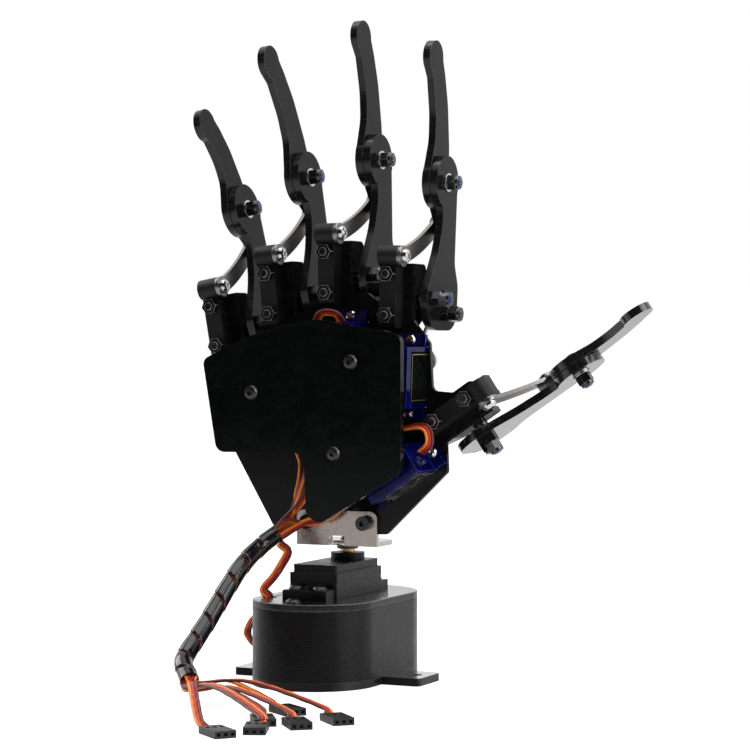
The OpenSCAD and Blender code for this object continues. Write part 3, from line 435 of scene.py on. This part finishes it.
def apply_modifier(obj, kind, **values):
    """Adds a modifier to a new piece and applies it."""
    select_only(obj)
    modifier = obj.modifiers.new("Shape", kind)
    for key, value in values.items():
        setattr(modifier, key, value)
    bpy.ops.object.modifier_apply(modifier=modifier.name)


def cut_away(obj, cutter):
    """Cuts one new piece out of another and removes it."""
    apply_modifier(obj, "BOOLEAN", operation="DIFFERENCE", object=cutter, solver="EXACT")
    drop(cutter)


def place_copy(source, name, matrix):
    """A copy with its own mesh, placed by a matrix."""
    obj = source.copy()
    obj.data = source.data.copy()
    obj.name = name
    bpy.context.scene.collection.objects.link(obj)
    obj.matrix_world = matrix
    return settle(obj)


def drop(obj):
    """Removes a model once its copies are placed."""
    bpy.data.objects.remove(obj)


def ring_block(name, outer, inner, thick, edge, sides):
    """A flat ring round the x axis with small bevels."""
    def drum(radius, depth):
        deselect()
        bpy.ops.mesh.primitive_cylinder_add(
            vertices=sides, radius=radius, depth=depth, rotation=(0, math.pi / 2, 0))
        return settle(bpy.context.object)

    ring = drum(outer, thick)
    ring.name = name
    cut_away(ring, drum(inner, 3 * thick))
    apply_modifier(ring, "BEVEL", width=edge, segments=2, limit_method="ANGLE")
    return ring


def select_faces(obj, test):
    """Selects the faces that pass a test, and stays in edit mode."""
    select_only(obj)
    bpy.ops.object.mode_set(mode="EDIT")
    bpy.ops.mesh.select_mode(type="FACE")
    bpy.ops.mesh.select_all(action="DESELECT")
    bpy.ops.object.mode_set(mode="OBJECT")
    for face in obj.data.polygons:
        face.select = test(face)
    bpy.ops.object.mode_set(mode="EDIT")


def lean_of(finger):
    """How far a finger's row leans outwards, in degrees."""
    axis = JOINTS[finger + "_link_turn"]["axis"]
    return math.degrees(math.atan2(-axis[2], axis[0]))


def finger_frame(finger):
    """Matrix from a finger row's own frame to the hand: x outwards, y back, z up the tab."""
    turn = Matrix.Rotation(math.radians(lean_of(finger)), 4, "Y")
    root = Vector(JOINTS[finger + "_link_turn"]["pos_m"]) - turn @ LINK_ROOT
    return Matrix.Translation(root) @ turn


def on_pivot(finger, joint, outwards):
    """Placing matrix of what sits on a finger's pivot, outwards from its row's middle."""
    to_row = finger_frame(finger)
    pivot = to_row.inverted() @ Vector(JOINTS[finger + joint]["pos_m"])
    return to_row @ Matrix.Translation(Vector((outwards, pivot.y, pivot.z)))


# ---------------------------------------------------------------- routes

def mm(*points):
    """Points given in millimetres, as vectors in metres."""
    return [Vector(p) * MM for p in points]


def smooth(points, steps):
    """A curve through the points, with steps pieces between two of them."""
    ends = [2 * points[0] - points[1], *points, 2 * points[-1] - points[-2]]
    line = []
    for a, b, c, d in zip(ends, ends[1:], ends[2:], ends[3:]):
        for k in range(steps):
            t = k / steps
            line.append(0.5 * (2 * b + (c - a) * t + (2 * a - 5 * b + 4 * c - d) * t * t
                               + (3 * b - a - 3 * c + d) * t ** 3))
    return line + [points[-1].copy()]


def even(line, gap):
    """The same line with its points about gap apart."""
    total = run_of(line)
    count = max(2, round(total / gap))
    out, walked, i = [line[0].copy()], 0.0, 0
    for k in range(1, count):
        want = total * k / count
        while walked + (line[i + 1] - line[i]).length < want:
            walked += (line[i + 1] - line[i]).length
            i += 1
        out.append(line[i].lerp(line[i + 1], (want - walked) / (line[i + 1] - line[i]).length))
    return out + [line[-1].copy()]


def run_of(line):
    """Length of a line of points."""
    return sum((b - a).length for a, b in zip(line, line[1:]))


def heading(line, i):
    """Direction of a line at its point i."""
    return (line[min(i + 1, len(line) - 1)] - line[max(i - 1, 0)]).normalized()


def bundle_place(at, way, k, spread):
    """Place k of six round a bundle's axis."""
    side = way.cross(Vector((1, 0, 0))).normalized()
    return ring_of(at, side, way.cross(side), spread, 6)[k]


def carried_sides(line, first):
    """A side direction at each point, carried along without twist."""
    sides, side = [], first
    for i in range(len(line)):
        way = heading(line, i)
        side = (side - side.dot(way) * way).normalized()
        sides.append(side)
    return sides


WRAP_POINTS = mm(
    (-18.9, -13.4, 55.7), (-23.4, -20, 50.4), (-25.7, -32, 42.6), (-27.9, -52, 25.2),
    (-28.4, -66, 15.2), (-26.2, -72, 12), (-19.7, -79, 7.6))
WRAP_COARSE = smooth(WRAP_POINTS, 2)
WRAP_IN, WRAP_IN_WAY = WRAP_COARSE[0], heading(WRAP_COARSE, 0)
WRAP_OUT, WRAP_OUT_WAY = WRAP_COARSE[-1], heading(WRAP_COARSE, len(WRAP_COARSE) - 1)

PALM_LEADS = {
    "index": mm((30.8, -9, 127.8), (29.5, -11.5, 131), (24.5, -12, 131.5), (21.8, -9, 124), (21, -8, 108),
                (16, -5, 88), (8, -3.6, 72), (0.6, -4.5, 62.5), (-8, -8.6, 59.6)),
    "middle": mm((6.7, -9, 137), (5.5, -12, 140), (-0.6, -13, 139.6), (-4.2, -9, 131), (-4.8, -8, 108),
                 (-5.4, -7.4, 85), (-9.4, -8.4, 70)),
    "ring": mm((-17, -9, 129.6), (-15.5, -12, 133.5), (-9.5, -12, 132), (-7.6, -9, 124), (-8, -8, 104),
               (-8.6, -7, 84), (-12.4, -8.6, 70)),
    "little": mm((-39.2, -9, 118.1), (-37.5, -12, 122.5), (-32, -12, 121.5), (-30.4, -9, 113),
                 (-29.6, -8, 104), (-14, -5.6, 86), (-14.6, -5.8, 70)),
    "thumb": mm((40.1, -9.5, 87.9), (44.6, -12, 91.6), (43.4, -13, 97.4), (34, -10, 97), (21, -8, 93),
                (10, -6, 76), (2, -6, 65), (-6, -9.4, 61.4)),
}
PLUGS = [  # place on the floor in millimetres, and turn in degrees
    (20.5, -136.7, 52), (31.3, -122.6, 23), (24.1, -107, 34),
    (37, -108.6, 40), (19.3, -84.9, 54), (44.5, -95, 46),
]
PIN_PITCH = 2.54 * MM
PLUG_SIZE = Vector((7.6, 14, 2.6)) * MM
LID_HOLE = Vector((-17.8, -21.5, 26.2)) * MM
PAN_LEAD = [LID_HOLE, LID_HOLE + Vector((0, 0, 6.2)) * MM] + mm(
    (-20.4, -21.4, 35), (-17.8, -18, 39.6), (-15.9, -14.6, 44.4), (-14.2, -13, 49),
    (-16.4, -14.1, 51.5), (-17, -14.4, 52.4))
SLACK_LOOP = mm(
    (-23.6, -8, 25), (-27, -14, 24.4), (-27.2, -21.6, 18.6), (-27.4, -14, 12.4), (-23.6, -8, 11.6))


# ---------------------------------------------------------------- leads

def tube_faces(rings, sides, start=0):
    """Quads of a tube of rings, with its two ends closed."""
    faces = []
    for i in range(rings - 1):
        for k in range(sides):
            a, b = start + i * sides + k, start + i * sides + (k + 1) % sides
            faces.append((a, a + sides, b + sides, b))
    faces.append(tuple(start + k for k in range(sides)))
    faces.append(tuple(start + (rings - 1) * sides + k for k in reversed(range(sides))))
    return faces


def ring_of(centre, side, up, radius, sides):
    """Points of a circle round centre."""
    angles = [math.tau * k / sides for k in range(sides)]
    return [centre + radius * (math.cos(a) * side + math.sin(a) * up) for a in angles]


def mesh_piece(name, points, faces, materials, numbers=None):
    """A smooth mesh piece; numbers gives each face its material."""
    mesh = bpy.data.meshes.new(name)
    mesh.from_pydata([tuple(p) for p in points], [], faces)
    mesh.update()
    obj = bpy.data.objects.new(name, mesh)
    bpy.context.scene.collection.objects.link(obj)
    for material in materials:
        mesh.materials.append(material)
    if numbers:
        mesh.polygons.foreach_set("material_index", numbers)
    select_only(obj)
    bpy.ops.object.mode_set(mode="EDIT")
    bpy.ops.mesh.select_all(action="SELECT")
    bpy.ops.mesh.normals_make_consistent(inside=False)
    bpy.ops.object.mode_set(mode="OBJECT")
    bpy.ops.object.shade_smooth_by_angle(angle=math.radians(50))
    return obj


def flat_lead(name, line, radius, materials, side, twist=0.0):
    """Three insulated wires side by side along a line."""
    sides = 10
    points, faces, numbers = [], [], []
    carried = carried_sides(line, side)
    for number, strand in enumerate((-1, 0, 1)):
        start = len(points)
        for i, centre in enumerate(line):
            way = heading(line, i)
            turned = Matrix.Rotation(twist * i / (len(line) - 1), 3, way) @ carried[i]
            up = way.cross(turned)
            wander = 0.12 * radius * math.sin(0.9 * i + 2 * strand)
            at = centre + 2 * radius * strand * turned + wander * up
            points += ring_of(at, turned, up, radius, sides)
        new = tube_faces(len(line), sides, start)
        faces += new
        numbers += [number] * len(new)
    return mesh_piece(name, points, faces, materials, numbers)


def wires(context):
    """The three sleeve materials, made once."""
    leads = context.scene.hand_leads
    sleeves = {"Orange sleeve": leads.orange, "Red sleeve": leads.red, "Brown sleeve": leads.brown}
    return [bpy.data.materials.get(name) or wire_sleeve(name, colour) for name, colour in sleeves.items()]


class HAND_OT_wrap(bpy.types.Operator):
    """Spiral wrap round the bundle of leads, down to the floor"""
    bl_idname = "hand.wrap"
    bl_label = "Spiral wrap"

    def execute(self, context):
        leads = context.scene.hand_leads
        line = even(smooth(WRAP_POINTS, 12), 0.45 * MM)
        sides = 40
        carried = carried_sides(line, Vector((1, 0, 0)))
        points, gaps, walked = [], [], 0.0
        for i, centre in enumerate(line):
            if i:
                walked += (line[i] - line[i - 1]).length
            way = heading(line, i)
            up = way.cross(carried[i])
            for k, rim in enumerate(ring_of(Vector(), carried[i], up, leads.wrap_radius, sides)):
                phase = (walked / leads.wrap_pitch + k / sides) % 1
                gap = max(0.0, 1 - min(phase, 1 - phase) / 0.035)
                lift = 0.925 + 0.075 * phase - 0.2 * min(1, 1.6 * gap)
                points.append(centre + lift * rim)
                gaps.append(min(1, 1.4 * gap))
        wrap = mesh_piece("spiral_wrap", points, tube_faces(len(line), sides), [self.skin(leads)])
        layer = wrap.data.attributes.new("gap", "FLOAT", "POINT")
        layer.data.foreach_set("value", gaps)
        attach(wrap, "hand")
        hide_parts("lead_wrap")
        return {"FINISHED"}

    def skin(self, leads):
        finish = Finish("Spiral wrap skin").set(Specular_IOR_Level=0.42, IOR=1.5)
        gap = finish.add("ShaderNodeAttribute", attribute_name="gap")
        cloud = finish.noise(2, detail=3)
        strand = finish.noise(0.9, detail=1)
        body = finish.ramp(cloud, (0.004, 0.0038, 0.005), (0.011, 0.01, 0.013))
        # painted shade: in the gaps the red and orange wire colours are darkened, standing in for the shade
        # inside the wrap
        inside = finish.ramp(strand, shade(leads.red, 0.12), shade(leads.orange, 0.35), 0.45, 0.6)
        finish.colour(finish.blend(gap.outputs["Fac"], body, inside))
        finish.roughness(finish.span(cloud, 0.05, 0.1))
        finish.bump(finish.noise(1.2, detail=2), 0.05)
        return finish.material


class HAND_OT_palm_leads(bpy.types.Operator):
    """Flat leads of the five finger servos, gathered into the wrap"""
    bl_idname = "hand.palm_leads"
    bl_label = "Palm leads"

    def execute(self, context):
        leads = context.scene.hand_leads
        for k, finger in enumerate(FINGERS):
            points = PALM_LEADS[finger] + [
                bundle_place(WRAP_IN - 6 * MM * WRAP_IN_WAY, WRAP_IN_WAY, k, 2.4 * MM),
                bundle_place(WRAP_IN + 1 * MM * WRAP_IN_WAY, WRAP_IN_WAY, k, 2.0 * MM)]
            line = even(smooth(points, 8), 1.1 * MM)
            piece = flat_lead("lead_" + finger, line, leads.strand_radius, wires(context),
                              Vector((1, 0.2, 0)), twist=math.radians(40 * (k - 2)))
            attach(piece, "hand")
            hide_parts("palm_leads")
        return {"FINISHED"}


class HAND_OT_tails(bpy.types.Operator):
    """Leads that fan out of the wrap over the floor, each with its plug"""
    bl_idname = "hand.tails"
    bl_label = "Tails and plugs"

    def execute(self, context):
        leads = context.scene.hand_leads
        model = self.plug_model()
        for k, (x, y, turn) in enumerate(PLUGS):
            angle = math.radians(turn)
            mouth = Vector((x * MM, y * MM, PLUG_SIZE.z / 2))
            inward = Vector((-math.sin(angle), math.cos(angle), 0))
            across = (-1) ** k * Vector((math.cos(angle), math.sin(angle), 0))
            place = Matrix.Translation(mouth) @ Matrix.Rotation(angle, 4, "Z")
            plug = place_copy(model, f"plug_{k + 1}", place)
            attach(plug, "hand")
            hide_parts("lead_plugs")
            start = bundle_place(WRAP_OUT - 1 * MM * WRAP_OUT_WAY, WRAP_OUT_WAY, k, 2.0 * MM)
            near = mouth + 9 * MM * inward + Vector((0, 0, 2 * MM))
            middle = 0.55 * start + 0.45 * near + Vector((0, 0, 2.6 * MM))
            line = even(smooth([start, start + 5 * MM * WRAP_OUT_WAY, middle, near,
                                mouth + 2 * MM * inward, mouth - 0.6 * MM * inward], 8), 1.1 * MM)
            tail = flat_lead(f"tail_{k + 1}", line, leads.strand_radius, wires(context), across)
            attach(tail, "hand")
            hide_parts("lead_tails")
        drop(model)
        return {"FINISHED"}

    def plug_model(self):
        """A three-way socket housing: wires enter at y = 0, pins at its far end."""
        size = PLUG_SIZE
        body = block("plug_model", size, (0, -size.y / 2, 0))
        for x in (-PIN_PITCH, 0, PIN_PITCH):
            cut_away(body, block("socket", (1.1 * MM, 3 * MM, 1.1 * MM), (x, -size.y, 0)))
            cut_away(body, block("window", (1.3 * MM, 2.6 * MM, 0.9 * MM), (x, -5 * MM, size.z / 2)))
        cut_away(body, block("step", (size.x + MM, 1.2 * MM, 0.3 * MM), (0, -0.3 * MM, size.z / 2)))
        apply_modifier(body, "BEVEL", width=0.16 * MM, segments=2, limit_method="ANGLE")
        dress(body, moulded_plastic("Plug plastic", (0.014, 0.014, 0.015), 0.2, 0.3))
        return body


class HAND_OT_pan_lead(bpy.types.Operator):
    """Flat lead of the turning servo, from the lid up to the wrap, and its slack loop"""
    bl_idname = "hand.pan_lead"
    bl_label = "Turning servo's lead"

    def execute(self, context):
        leads = context.scene.hand_leads
        line = even(smooth(PAN_LEAD, 8), 1.0 * MM)
        piece = flat_lead("lead_turning", line, leads.strand_radius, wires(context), Vector((1, 0.3, 0)),
                          twist=math.radians(50))
        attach(piece, "foot")
        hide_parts("pan_lead")
        slack = even(smooth(SLACK_LOOP, 10), 1.0 * MM)
        loop = flat_lead("lead_slack", slack, leads.strand_radius, wires(context), Vector((0.9, 0.4, 0)))
        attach(loop, "foot")
        return {"FINISHED"}


# ---------------------------------------------------------------- small rigid pieces

class HAND_OT_nut_inserts(bpy.types.Operator):
    """Blue nylon rings in the ends of the locking nuts"""
    bl_idname = "hand.nut_inserts"
    bl_label = "Nut inserts"

    def execute(self, context):
        blue = context.scene.hand_finish.insert_blue
        finish = Finish("Nylon ring").set(Specular_IOR_Level=0.5)
        cloud = finish.noise(0.7, detail=2)
        finish.colour(finish.ramp(cloud, shade(blue, 0.6), shade(blue, 1.3)))
        finish.roughness(finish.span(cloud, 0.25, 0.4))
        model = ring_block("insert_model", 2.3 * MM, 1.53 * MM, 0.3 * MM, edge=0.1 * MM, sides=40)
        dress(model, finish.material)
        for finger in FINGERS:
            for spot, body, joint, nut_end in (("root", "hand", "_bend", 13.0 * MM),
                                               ("knuckle", finger + "_first", "_curl", 10.1 * MM)):
                ring = place_copy(model, f"insert_{spot}_{finger}", on_pivot(finger, joint, nut_end))
                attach(ring, body)
        drop(model)
        return {"FINISHED"}


class HAND_OT_washers(bpy.types.Operator):
    """Bright washers under the knuckle nuts"""
    bl_idname = "hand.washers"
    bl_label = "Washers"

    def execute(self, context):
        model = ring_block("washer_model", 3.62 * MM, 2.6 * MM, 0.62 * MM, edge=0.12 * MM, sides=48)
        dress(model, bright_metal("Zinc washer", (0.62, 0.62, 0.64), 0.16))
        for finger in FINGERS:
            washer = place_copy(model, "washer_" + finger, on_pivot(finger, "_curl", 5.42 * MM))
            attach(washer, finger + "_first")
        drop(model)
        return {"FINISHED"}


class HAND_OT_servo_labels(bpy.types.Operator):
    """Plain dark stickers with a thin rim on the sides of the finger servos"""
    bl_idname = "hand.servo_labels"
    bl_label = "Servo stickers"

    size = Vector((0.12, 16.4, 19.4)) * MM
    centre = Vector((0, -11.2, -29.9)) * MM
    side_x = 6.1 * MM
    border = 0.9 * MM
    rim_width = 0.35 * MM

    def execute(self, context):
        rim = self.rim()
        models = {"thumb": self.sticker(self.glossy(), rim)}
        plain = self.sticker(self.dark(), rim)
        for finger in FINGERS:
            for side, reach in (("outer", self.side_x), ("inner", -self.side_x)):
                place = finger_frame(finger) @ Matrix.Translation(self.centre + Vector((reach, 0, 0)))
                placed = place_copy(models.get(finger, plain), f"sticker_{side}_{finger}", place)
                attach(placed, "hand")
        drop(models["thumb"])
        drop(plain)
        return {"FINISHED"}

    def sticker(self, face_material, rim_material):
        """A thin sheet with a rim line set in from its border on both faces."""
        label = block("label", self.size, (0, 0, 0))
        select_faces(label, lambda face: abs(face.normal.x) > 0.9)
        bpy.ops.mesh.inset(thickness=self.border, use_individual=True)
        bpy.ops.mesh.inset(thickness=self.rim_width, use_individual=True)
        bpy.ops.object.mode_set(mode="OBJECT")
        dress(label, face_material, rim_material)
        inner_y = self.size.y / 2 - self.border - self.rim_width
        inner_z = self.size.z / 2 - self.border - self.rim_width
        for face in label.data.polygons:
            past = max(abs(face.center.y) - inner_y, abs(face.center.z) - inner_z)
            face.material_index = int(0 < past < self.rim_width and abs(face.normal.x) > 0.9)
        return label

    def dark(self):
        finish = Finish("Sticker").set(Specular_IOR_Level=0.0)
        cloud = finish.noise(3, detail=3)
        finish.colour(finish.ramp(cloud, (0.002, 0.003, 0.0025), (0.008, 0.01, 0.008)))
        finish.roughness(finish.span(cloud, 0.12, 0.25))
        finish.bump(finish.noise(2.5, detail=2), 0.02)
        return finish.material

    def glossy(self):
        finish = Finish("Glossy sticker").set(Specular_IOR_Level=0.6, Coat_Weight=1.0, Coat_IOR=1.8)
        # painted reflection: light grey streaks in the colour stand in for glare, on top of the real coat
        wave = finish.noise(3, stretch=(0.4, 1, 1.5), detail=2)
        finish.colour(finish.ramp(wave, (0.01, 0.012, 0.012), (0.16, 0.16, 0.17), 0.45, 0.6))
        finish.roughness(finish.span(wave, 0.08, 0.2))
        return finish.material

    def rim(self):
        finish = Finish("Sticker rim").set(Metallic=0.7)
        grain = finish.noise(0.5, detail=3)
        finish.colour(finish.ramp(grain, (0.2, 0.16, 0.07), (0.4, 0.33, 0.16)))
        finish.roughness(finish.span(grain, 0.25, 0.4))
        return finish.material


# ---------------------------------------------------------------- finishes of the CAD nodes

class HAND_OT_finishes(bpy.types.Operator):
    """Finishes and broken edges of the rigid parts"""
    bl_idname = "hand.finishes"
    bl_label = "Rigid parts' finishes"

    def execute(self, context):
        look = context.scene.hand_finish
        for finger in FINGERS:
            specular, coat = (0.5, 0.72) if finger == "thumb" else (0.08, 0.0)
            plate = cut_plate("Acrylic " + finger, look.acrylic, lean_of(finger), specular, coat)
            repaint(plate, "proximal_" + finger, "distal_" + finger)
            grain = bright_metal("Ground steel " + finger, (0.3, 0.285, 0.265), 0.24, (0.25, 0.25, 1),
                                 turn=(0, -math.radians(lean_of(finger)), 0))
            repaint(grain, "link_" + finger)
            repaint(clear_case("Clear blue " + finger, look.case_blue), "servo_" + finger)
        # painted highlight: a dark grey rim for the bevels of the cover, brackets and foot
        dull_edge_highlight = painted_edge_highlight("Dull edge highlight", (0.085, 0.085, 0.09))
        self.finger_edges(look)
        self.palm_and_wrist(look, dull_edge_highlight)
        self.foot(look, dull_edge_highlight)
        self.fasteners()
        return {"FINISHED"}

    def finger_edges(self, look):
        plates = each("proximal_") + each("distal_")
        # painted highlights: light rims on the bevels of the plates, links and servo cases
        break_edges(look.edge_break, *plates, rim=painted_edge_highlight("Plate edge highlight", (0.24, 0.24, 0.255)))
        link_edge_highlight = painted_edge_highlight("Link edge highlight", (0.85, 0.82, 0.78), metallic=0.5)
        break_edges(0.16 * MM, *each("link_"), rim=link_edge_highlight)
        case_edge_highlight = painted_edge_highlight("Case edge highlight", (0.02, 0.05, 0.75))
        break_edges(0.5 * MM, *each("servo_"), rim=case_edge_highlight, flatten=True)
        repaint(moulded_plastic("Horn plastic", (0.62, 0.61, 0.57), 0.3, 0.4), *each("horn_"))
        break_edges(0.2 * MM, *each("horn_"))

    def palm_and_wrist(self, look, dull_edge_highlight):
        repaint(polished_sheet("Cover acrylic", look.cover, 0.16, 0.1, speck=0.3), "palm_cover")
        break_edges(0.3 * MM, "palm_cover", rim=dull_edge_highlight)
        repaint(polished_sheet("Palm sheet", shade(look.acrylic, 0.7), 0.2, 0.1), "palm_plate")
        # painted highlight: a light grey rim on the palm sheet's bevel
        break_edges(0.2 * MM, "palm_plate", rim=painted_edge_highlight("Sheet edge highlight", (0.3, 0.3, 0.32)))
        bracket = printed_plastic(
            "Printed bracket", shade(look.moulded, 0.45), layer=0.35, gloss=0.42, specular=0.3, axis="X")
        repaint(bracket, "link_brackets")
        break_edges(0.25 * MM, "link_brackets", rim=dull_edge_highlight)
        repaint(bright_metal("Nickel plate", look.nickel, 0.2, (1, 1, 0.35)), "wrist_bracket")
        break_edges(0.2 * MM, "wrist_bracket")

    def foot(self, look, dull_edge_highlight):
        housing = printed_plastic(
            "Printed housing", shade(look.moulded, 0.4), layer=0.42, gloss=0.2, specular=0.2)
        base = printed_plastic(
            "Printed base", shade(look.moulded, 0.6), layer=0.3, gloss=0.2, specular=0.3, coat=1.0)
        lid = printed_plastic(
            "Printed lid", shade(look.moulded, 0.6), layer=0.4, gloss=0.2, specular=0.3, axis="X", coat=0.6)
        repaint(housing, "foot_housing")
        repaint(base, "foot_plate")
        repaint(lid, "foot_lid")
        servo = moulded_plastic("Servo plastic", shade(look.moulded, 0.6), 0.35, 0.24, specular=0.18)
        repaint(servo, "pan_servo")
        break_edges(0.35 * MM, "foot_housing", "foot_plate", "foot_lid", "pan_servo", rim=dull_edge_highlight)

    def fasteners(self):
        screws = oxide_steel("Black oxide", (0.06, 0.058, 0.062), gloss=0.2)
        repaint(screws, "foot_screws", "pan_servo_screws", "cover_screws", "wrist_screws")
        nutted = ("bracket_bolts", "root_bolts", *each("bolts_"))
        repaint(oxide_steel("Oxide nuts", (0.075, 0.073, 0.077), gloss=0.16, metallic=0.95), *nutted)
        # painted highlight: a light rim on the bevels of the nuts and bolts
        metal_edge_highlight = painted_edge_highlight("Metal edge highlight", (0.46, 0.45, 0.43), metallic=0.25)
        break_edges(0.26 * MM, *nutted, angle=50, rounded=False, rim=metal_edge_highlight, flatten=True)
        chrome = bright_metal("Chrome", (0.78, 0.78, 0.79), 0.08)
        repaint(chrome, "link_root_screws", "servo_screws", *each("rod_"))
        repaint(bright_metal("Brass", (0.78, 0.55, 0.22), 0.2), "pan_spline", "cover_standoffs")
        repaint(oxide_steel("Horn metal", (0.06, 0.058, 0.06), 0.25), "pan_horn")


# ---------------------------------------------------------------- studio

CAMERA_AXIS_Y = 10.3 * MM     # where the camera's circle has its centre
AIM_RIGHT = 0.01104           # how far the view looks to the right and down, per unit forward
AIM_DOWN = 0.01431
FLOOR_GLOW = 0.72             # brings the pale floor up to white for the camera alone
SOFTBOXES = (                 # name, place, side and power in watts
    ("Left softbox", (-1.2, 0.1, 0.7), 0.9, 9),
    ("Right softbox", (1.2, -0.1, 0.7), 0.9, 9),
    ("Top softbox", (0.1, 0.1, 1.4), 1.2, 10),
)
LIT_POINT = Vector((0, 0, 0.12))
DARK_FROM, DARK_TO = -98, 84  # the dark arc of the room, in degrees from straight in front


class HAND_OT_studio(bpy.types.Operator):
    """Camera, soft lights, pale floor and surroundings"""
    bl_idname = "hand.studio"
    bl_label = "Studio"

    def execute(self, context):
        studio = context.scene.hand_studio
        self.camera(context, studio)
        self.floor(studio)
        self.dark_room()
        self.lights()
        self.world(context, studio)
        context.scene.view_settings.view_transform = "Standard"
        return {"FINISHED"}

    def camera(self, context, studio):
        """A camera turned a little to the right, at the height of the middle of the object."""
        forward = Vector((-math.sin(studio.turn), math.cos(studio.turn), 0))
        right = Vector((math.cos(studio.turn), math.sin(studio.turn), 0))
        axis = Vector((0, CAMERA_AXIS_Y, studio.height))
        aim = forward + AIM_RIGHT * right - AIM_DOWN * Vector((0, 0, 1))
        data = bpy.data.cameras.new("Camera")
        data.lens = studio.lens
        data.sensor_width = 36
        data.clip_end = 30
        camera = bpy.data.objects.new("Camera", data)
        bpy.context.scene.collection.objects.link(camera)
        camera.location = axis - studio.distance * forward
        camera.rotation_euler = aim.to_track_quat("-Z", "Y").to_euler()
        context.scene.camera = camera

    def floor(self, studio):
        """A pale floor that the camera sees as white, with the object's shadow."""
        deselect()
        bpy.ops.mesh.primitive_plane_add(size=studio.floor_size, location=(0, 0, 0))
        floor = bpy.context.object
        floor.name = "floor"
        finish = Finish("Pale floor").set(Specular_IOR_Level=0.2)
        cloud = finish.noise(60, detail=2)
        finish.colour(finish.ramp(cloud, (0.8, 0.8, 0.8), (0.83, 0.83, 0.83)))
        finish.roughness(finish.span(cloud, 0.5, 0.6))
        glow = finish.add("ShaderNodeEmission", Color=(1, 1, 1, 1))
        both = finish.add("ShaderNodeAddShader")
        strength = finish.add("ShaderNodeMath", operation="MULTIPLY")
        strength.inputs[1].default_value = FLOOR_GLOW
        path = finish.add("ShaderNodeLightPath")
        finish.join(path.outputs["Is Camera Ray"], strength.inputs[0])
        finish.join(strength.outputs[0], glow.inputs["Strength"])
        finish.join(finish.shader.outputs[0], both.inputs[0])
        finish.join(glow.outputs[0], both.inputs[1])
        finish.join(both.outputs[0], finish.tree.nodes["Material Output"].inputs["Surface"])
        floor.data.materials.append(finish.material)

    def dark_room(self):
        """The dark side of the room, behind the camera, for reflections alone."""
        deselect()
        bpy.ops.mesh.primitive_cylinder_add(vertices=72, radius=1.9, depth=2.6, end_fill_type="NOTHING",
                                            location=(0, 0, 1.2))
        panel = settle(bpy.context.object)
        panel.name = "dark_room"
        select_faces(panel, self.outside_dark_arc)
        bpy.ops.mesh.delete(type="FACE")
        bpy.ops.object.mode_set(mode="OBJECT")
        finish = Finish("Dark cloth").set(Specular_IOR_Level=0.0, Roughness=1.0)
        finish.colour(finish.ramp(finish.noise(40), (0.01, 0.01, 0.011), (0.02, 0.02, 0.022)))
        panel.data.materials.append(finish.material)
        for ray in ("visible_camera", "visible_diffuse", "visible_shadow", "visible_transmission"):
            setattr(panel, ray, False)

    def outside_dark_arc(self, face):
        return not DARK_FROM < math.degrees(math.atan2(face.center.x, -face.center.y)) < DARK_TO

    def lights(self):
        for name, place, size, power in SOFTBOXES:
            data = bpy.data.lights.new(name, "AREA")
            data.size = size
            data.energy = power
            lamp = bpy.data.objects.new(name, data)
            bpy.context.scene.collection.objects.link(lamp)
            lamp.location = place
            lamp.rotation_euler = (LIT_POINT - lamp.location).to_track_quat("-Z", "Y").to_euler()

    def world(self, context, studio):
        """White where it is seen, and a soft light from all round."""
        world = bpy.data.worlds.new("Studio")
        context.scene.world = world
        world.use_nodes = True
        tree = world.node_tree
        back = tree.nodes["Background"]
        back.inputs["Color"].default_value = (1, 1, 1, 1)
        span = tree.nodes.new("ShaderNodeMapRange")
        span.inputs["To Min"].default_value = studio.ambient
        span.inputs["To Max"].default_value = 1.0
        tree.links.new(seen_rays(tree), span.inputs["Value"])
        tree.links.new(span.outputs["Result"], back.inputs["Strength"])


def seen_rays(tree):
    """1 for rays from the camera, off gloss or through glass, and 0 for the rest."""
    path = tree.nodes.new("ShaderNodeLightPath")
    total = path.outputs["Is Camera Ray"]
    for kind in ("Is Glossy Ray", "Is Transmission Ray"):
        most = tree.nodes.new("ShaderNodeMath")
        most.operation = "MAXIMUM"
        tree.links.new(total, most.inputs[0])
        tree.links.new(path.outputs[kind], most.inputs[1])
        total = most.outputs[0]
    return total


# ---------------------------------------------------------------- add-on

OPERATORS = (
    HAND_OT_studio, HAND_OT_wrap, HAND_OT_palm_leads, HAND_OT_tails, HAND_OT_pan_lead,
    HAND_OT_nut_inserts, HAND_OT_washers, HAND_OT_servo_labels, HAND_OT_finishes,
)


class HAND_PT_dressing(bpy.types.Panel):
    """Pieces, finishes and studio of the robot hand"""
    bl_label = "Robot hand"
    bl_idname = "HAND_PT_dressing"
    bl_space_type = "VIEW_3D"
    bl_region_type = "UI"
    bl_category = "Robot hand"

    def draw(self, context):
        for operator in OPERATORS:
            self.layout.operator(operator.bl_idname)
        for group in (context.scene.hand_leads, context.scene.hand_finish, context.scene.hand_studio):
            box = self.layout.box()
            for key in group.__annotations__:
                box.prop(group, key)


GROUPS = (("hand_leads", LeadSettings), ("hand_finish", FinishSettings), ("hand_studio", StudioSettings))


def register():
    for name, group in GROUPS:
        bpy.utils.register_class(group)
        setattr(bpy.types.Scene, name, bpy.props.PointerProperty(type=group))
    for item in (*OPERATORS, HAND_PT_dressing):
        bpy.utils.register_class(item)


def unregister():
    for item in (HAND_PT_dressing, *reversed(OPERATORS)):
        bpy.utils.unregister_class(item)
    for name, group in reversed(GROUPS):
        delattr(bpy.types.Scene, name)
        bpy.utils.unregister_class(group)


def main():
    """Dresses the hand piece by piece."""
    register()
    bpy.ops.hand.studio()
    bpy.ops.hand.wrap()
    bpy.ops.hand.palm_leads()
    bpy.ops.hand.tails()
    bpy.ops.hand.pan_lead()
    bpy.ops.hand.nut_inserts()
    bpy.ops.hand.washers()
    bpy.ops.hand.servo_labels()
    bpy.ops.hand.finishes()
    bpy.context.view_layer.update()


if __name__ == "__main__":
    main()
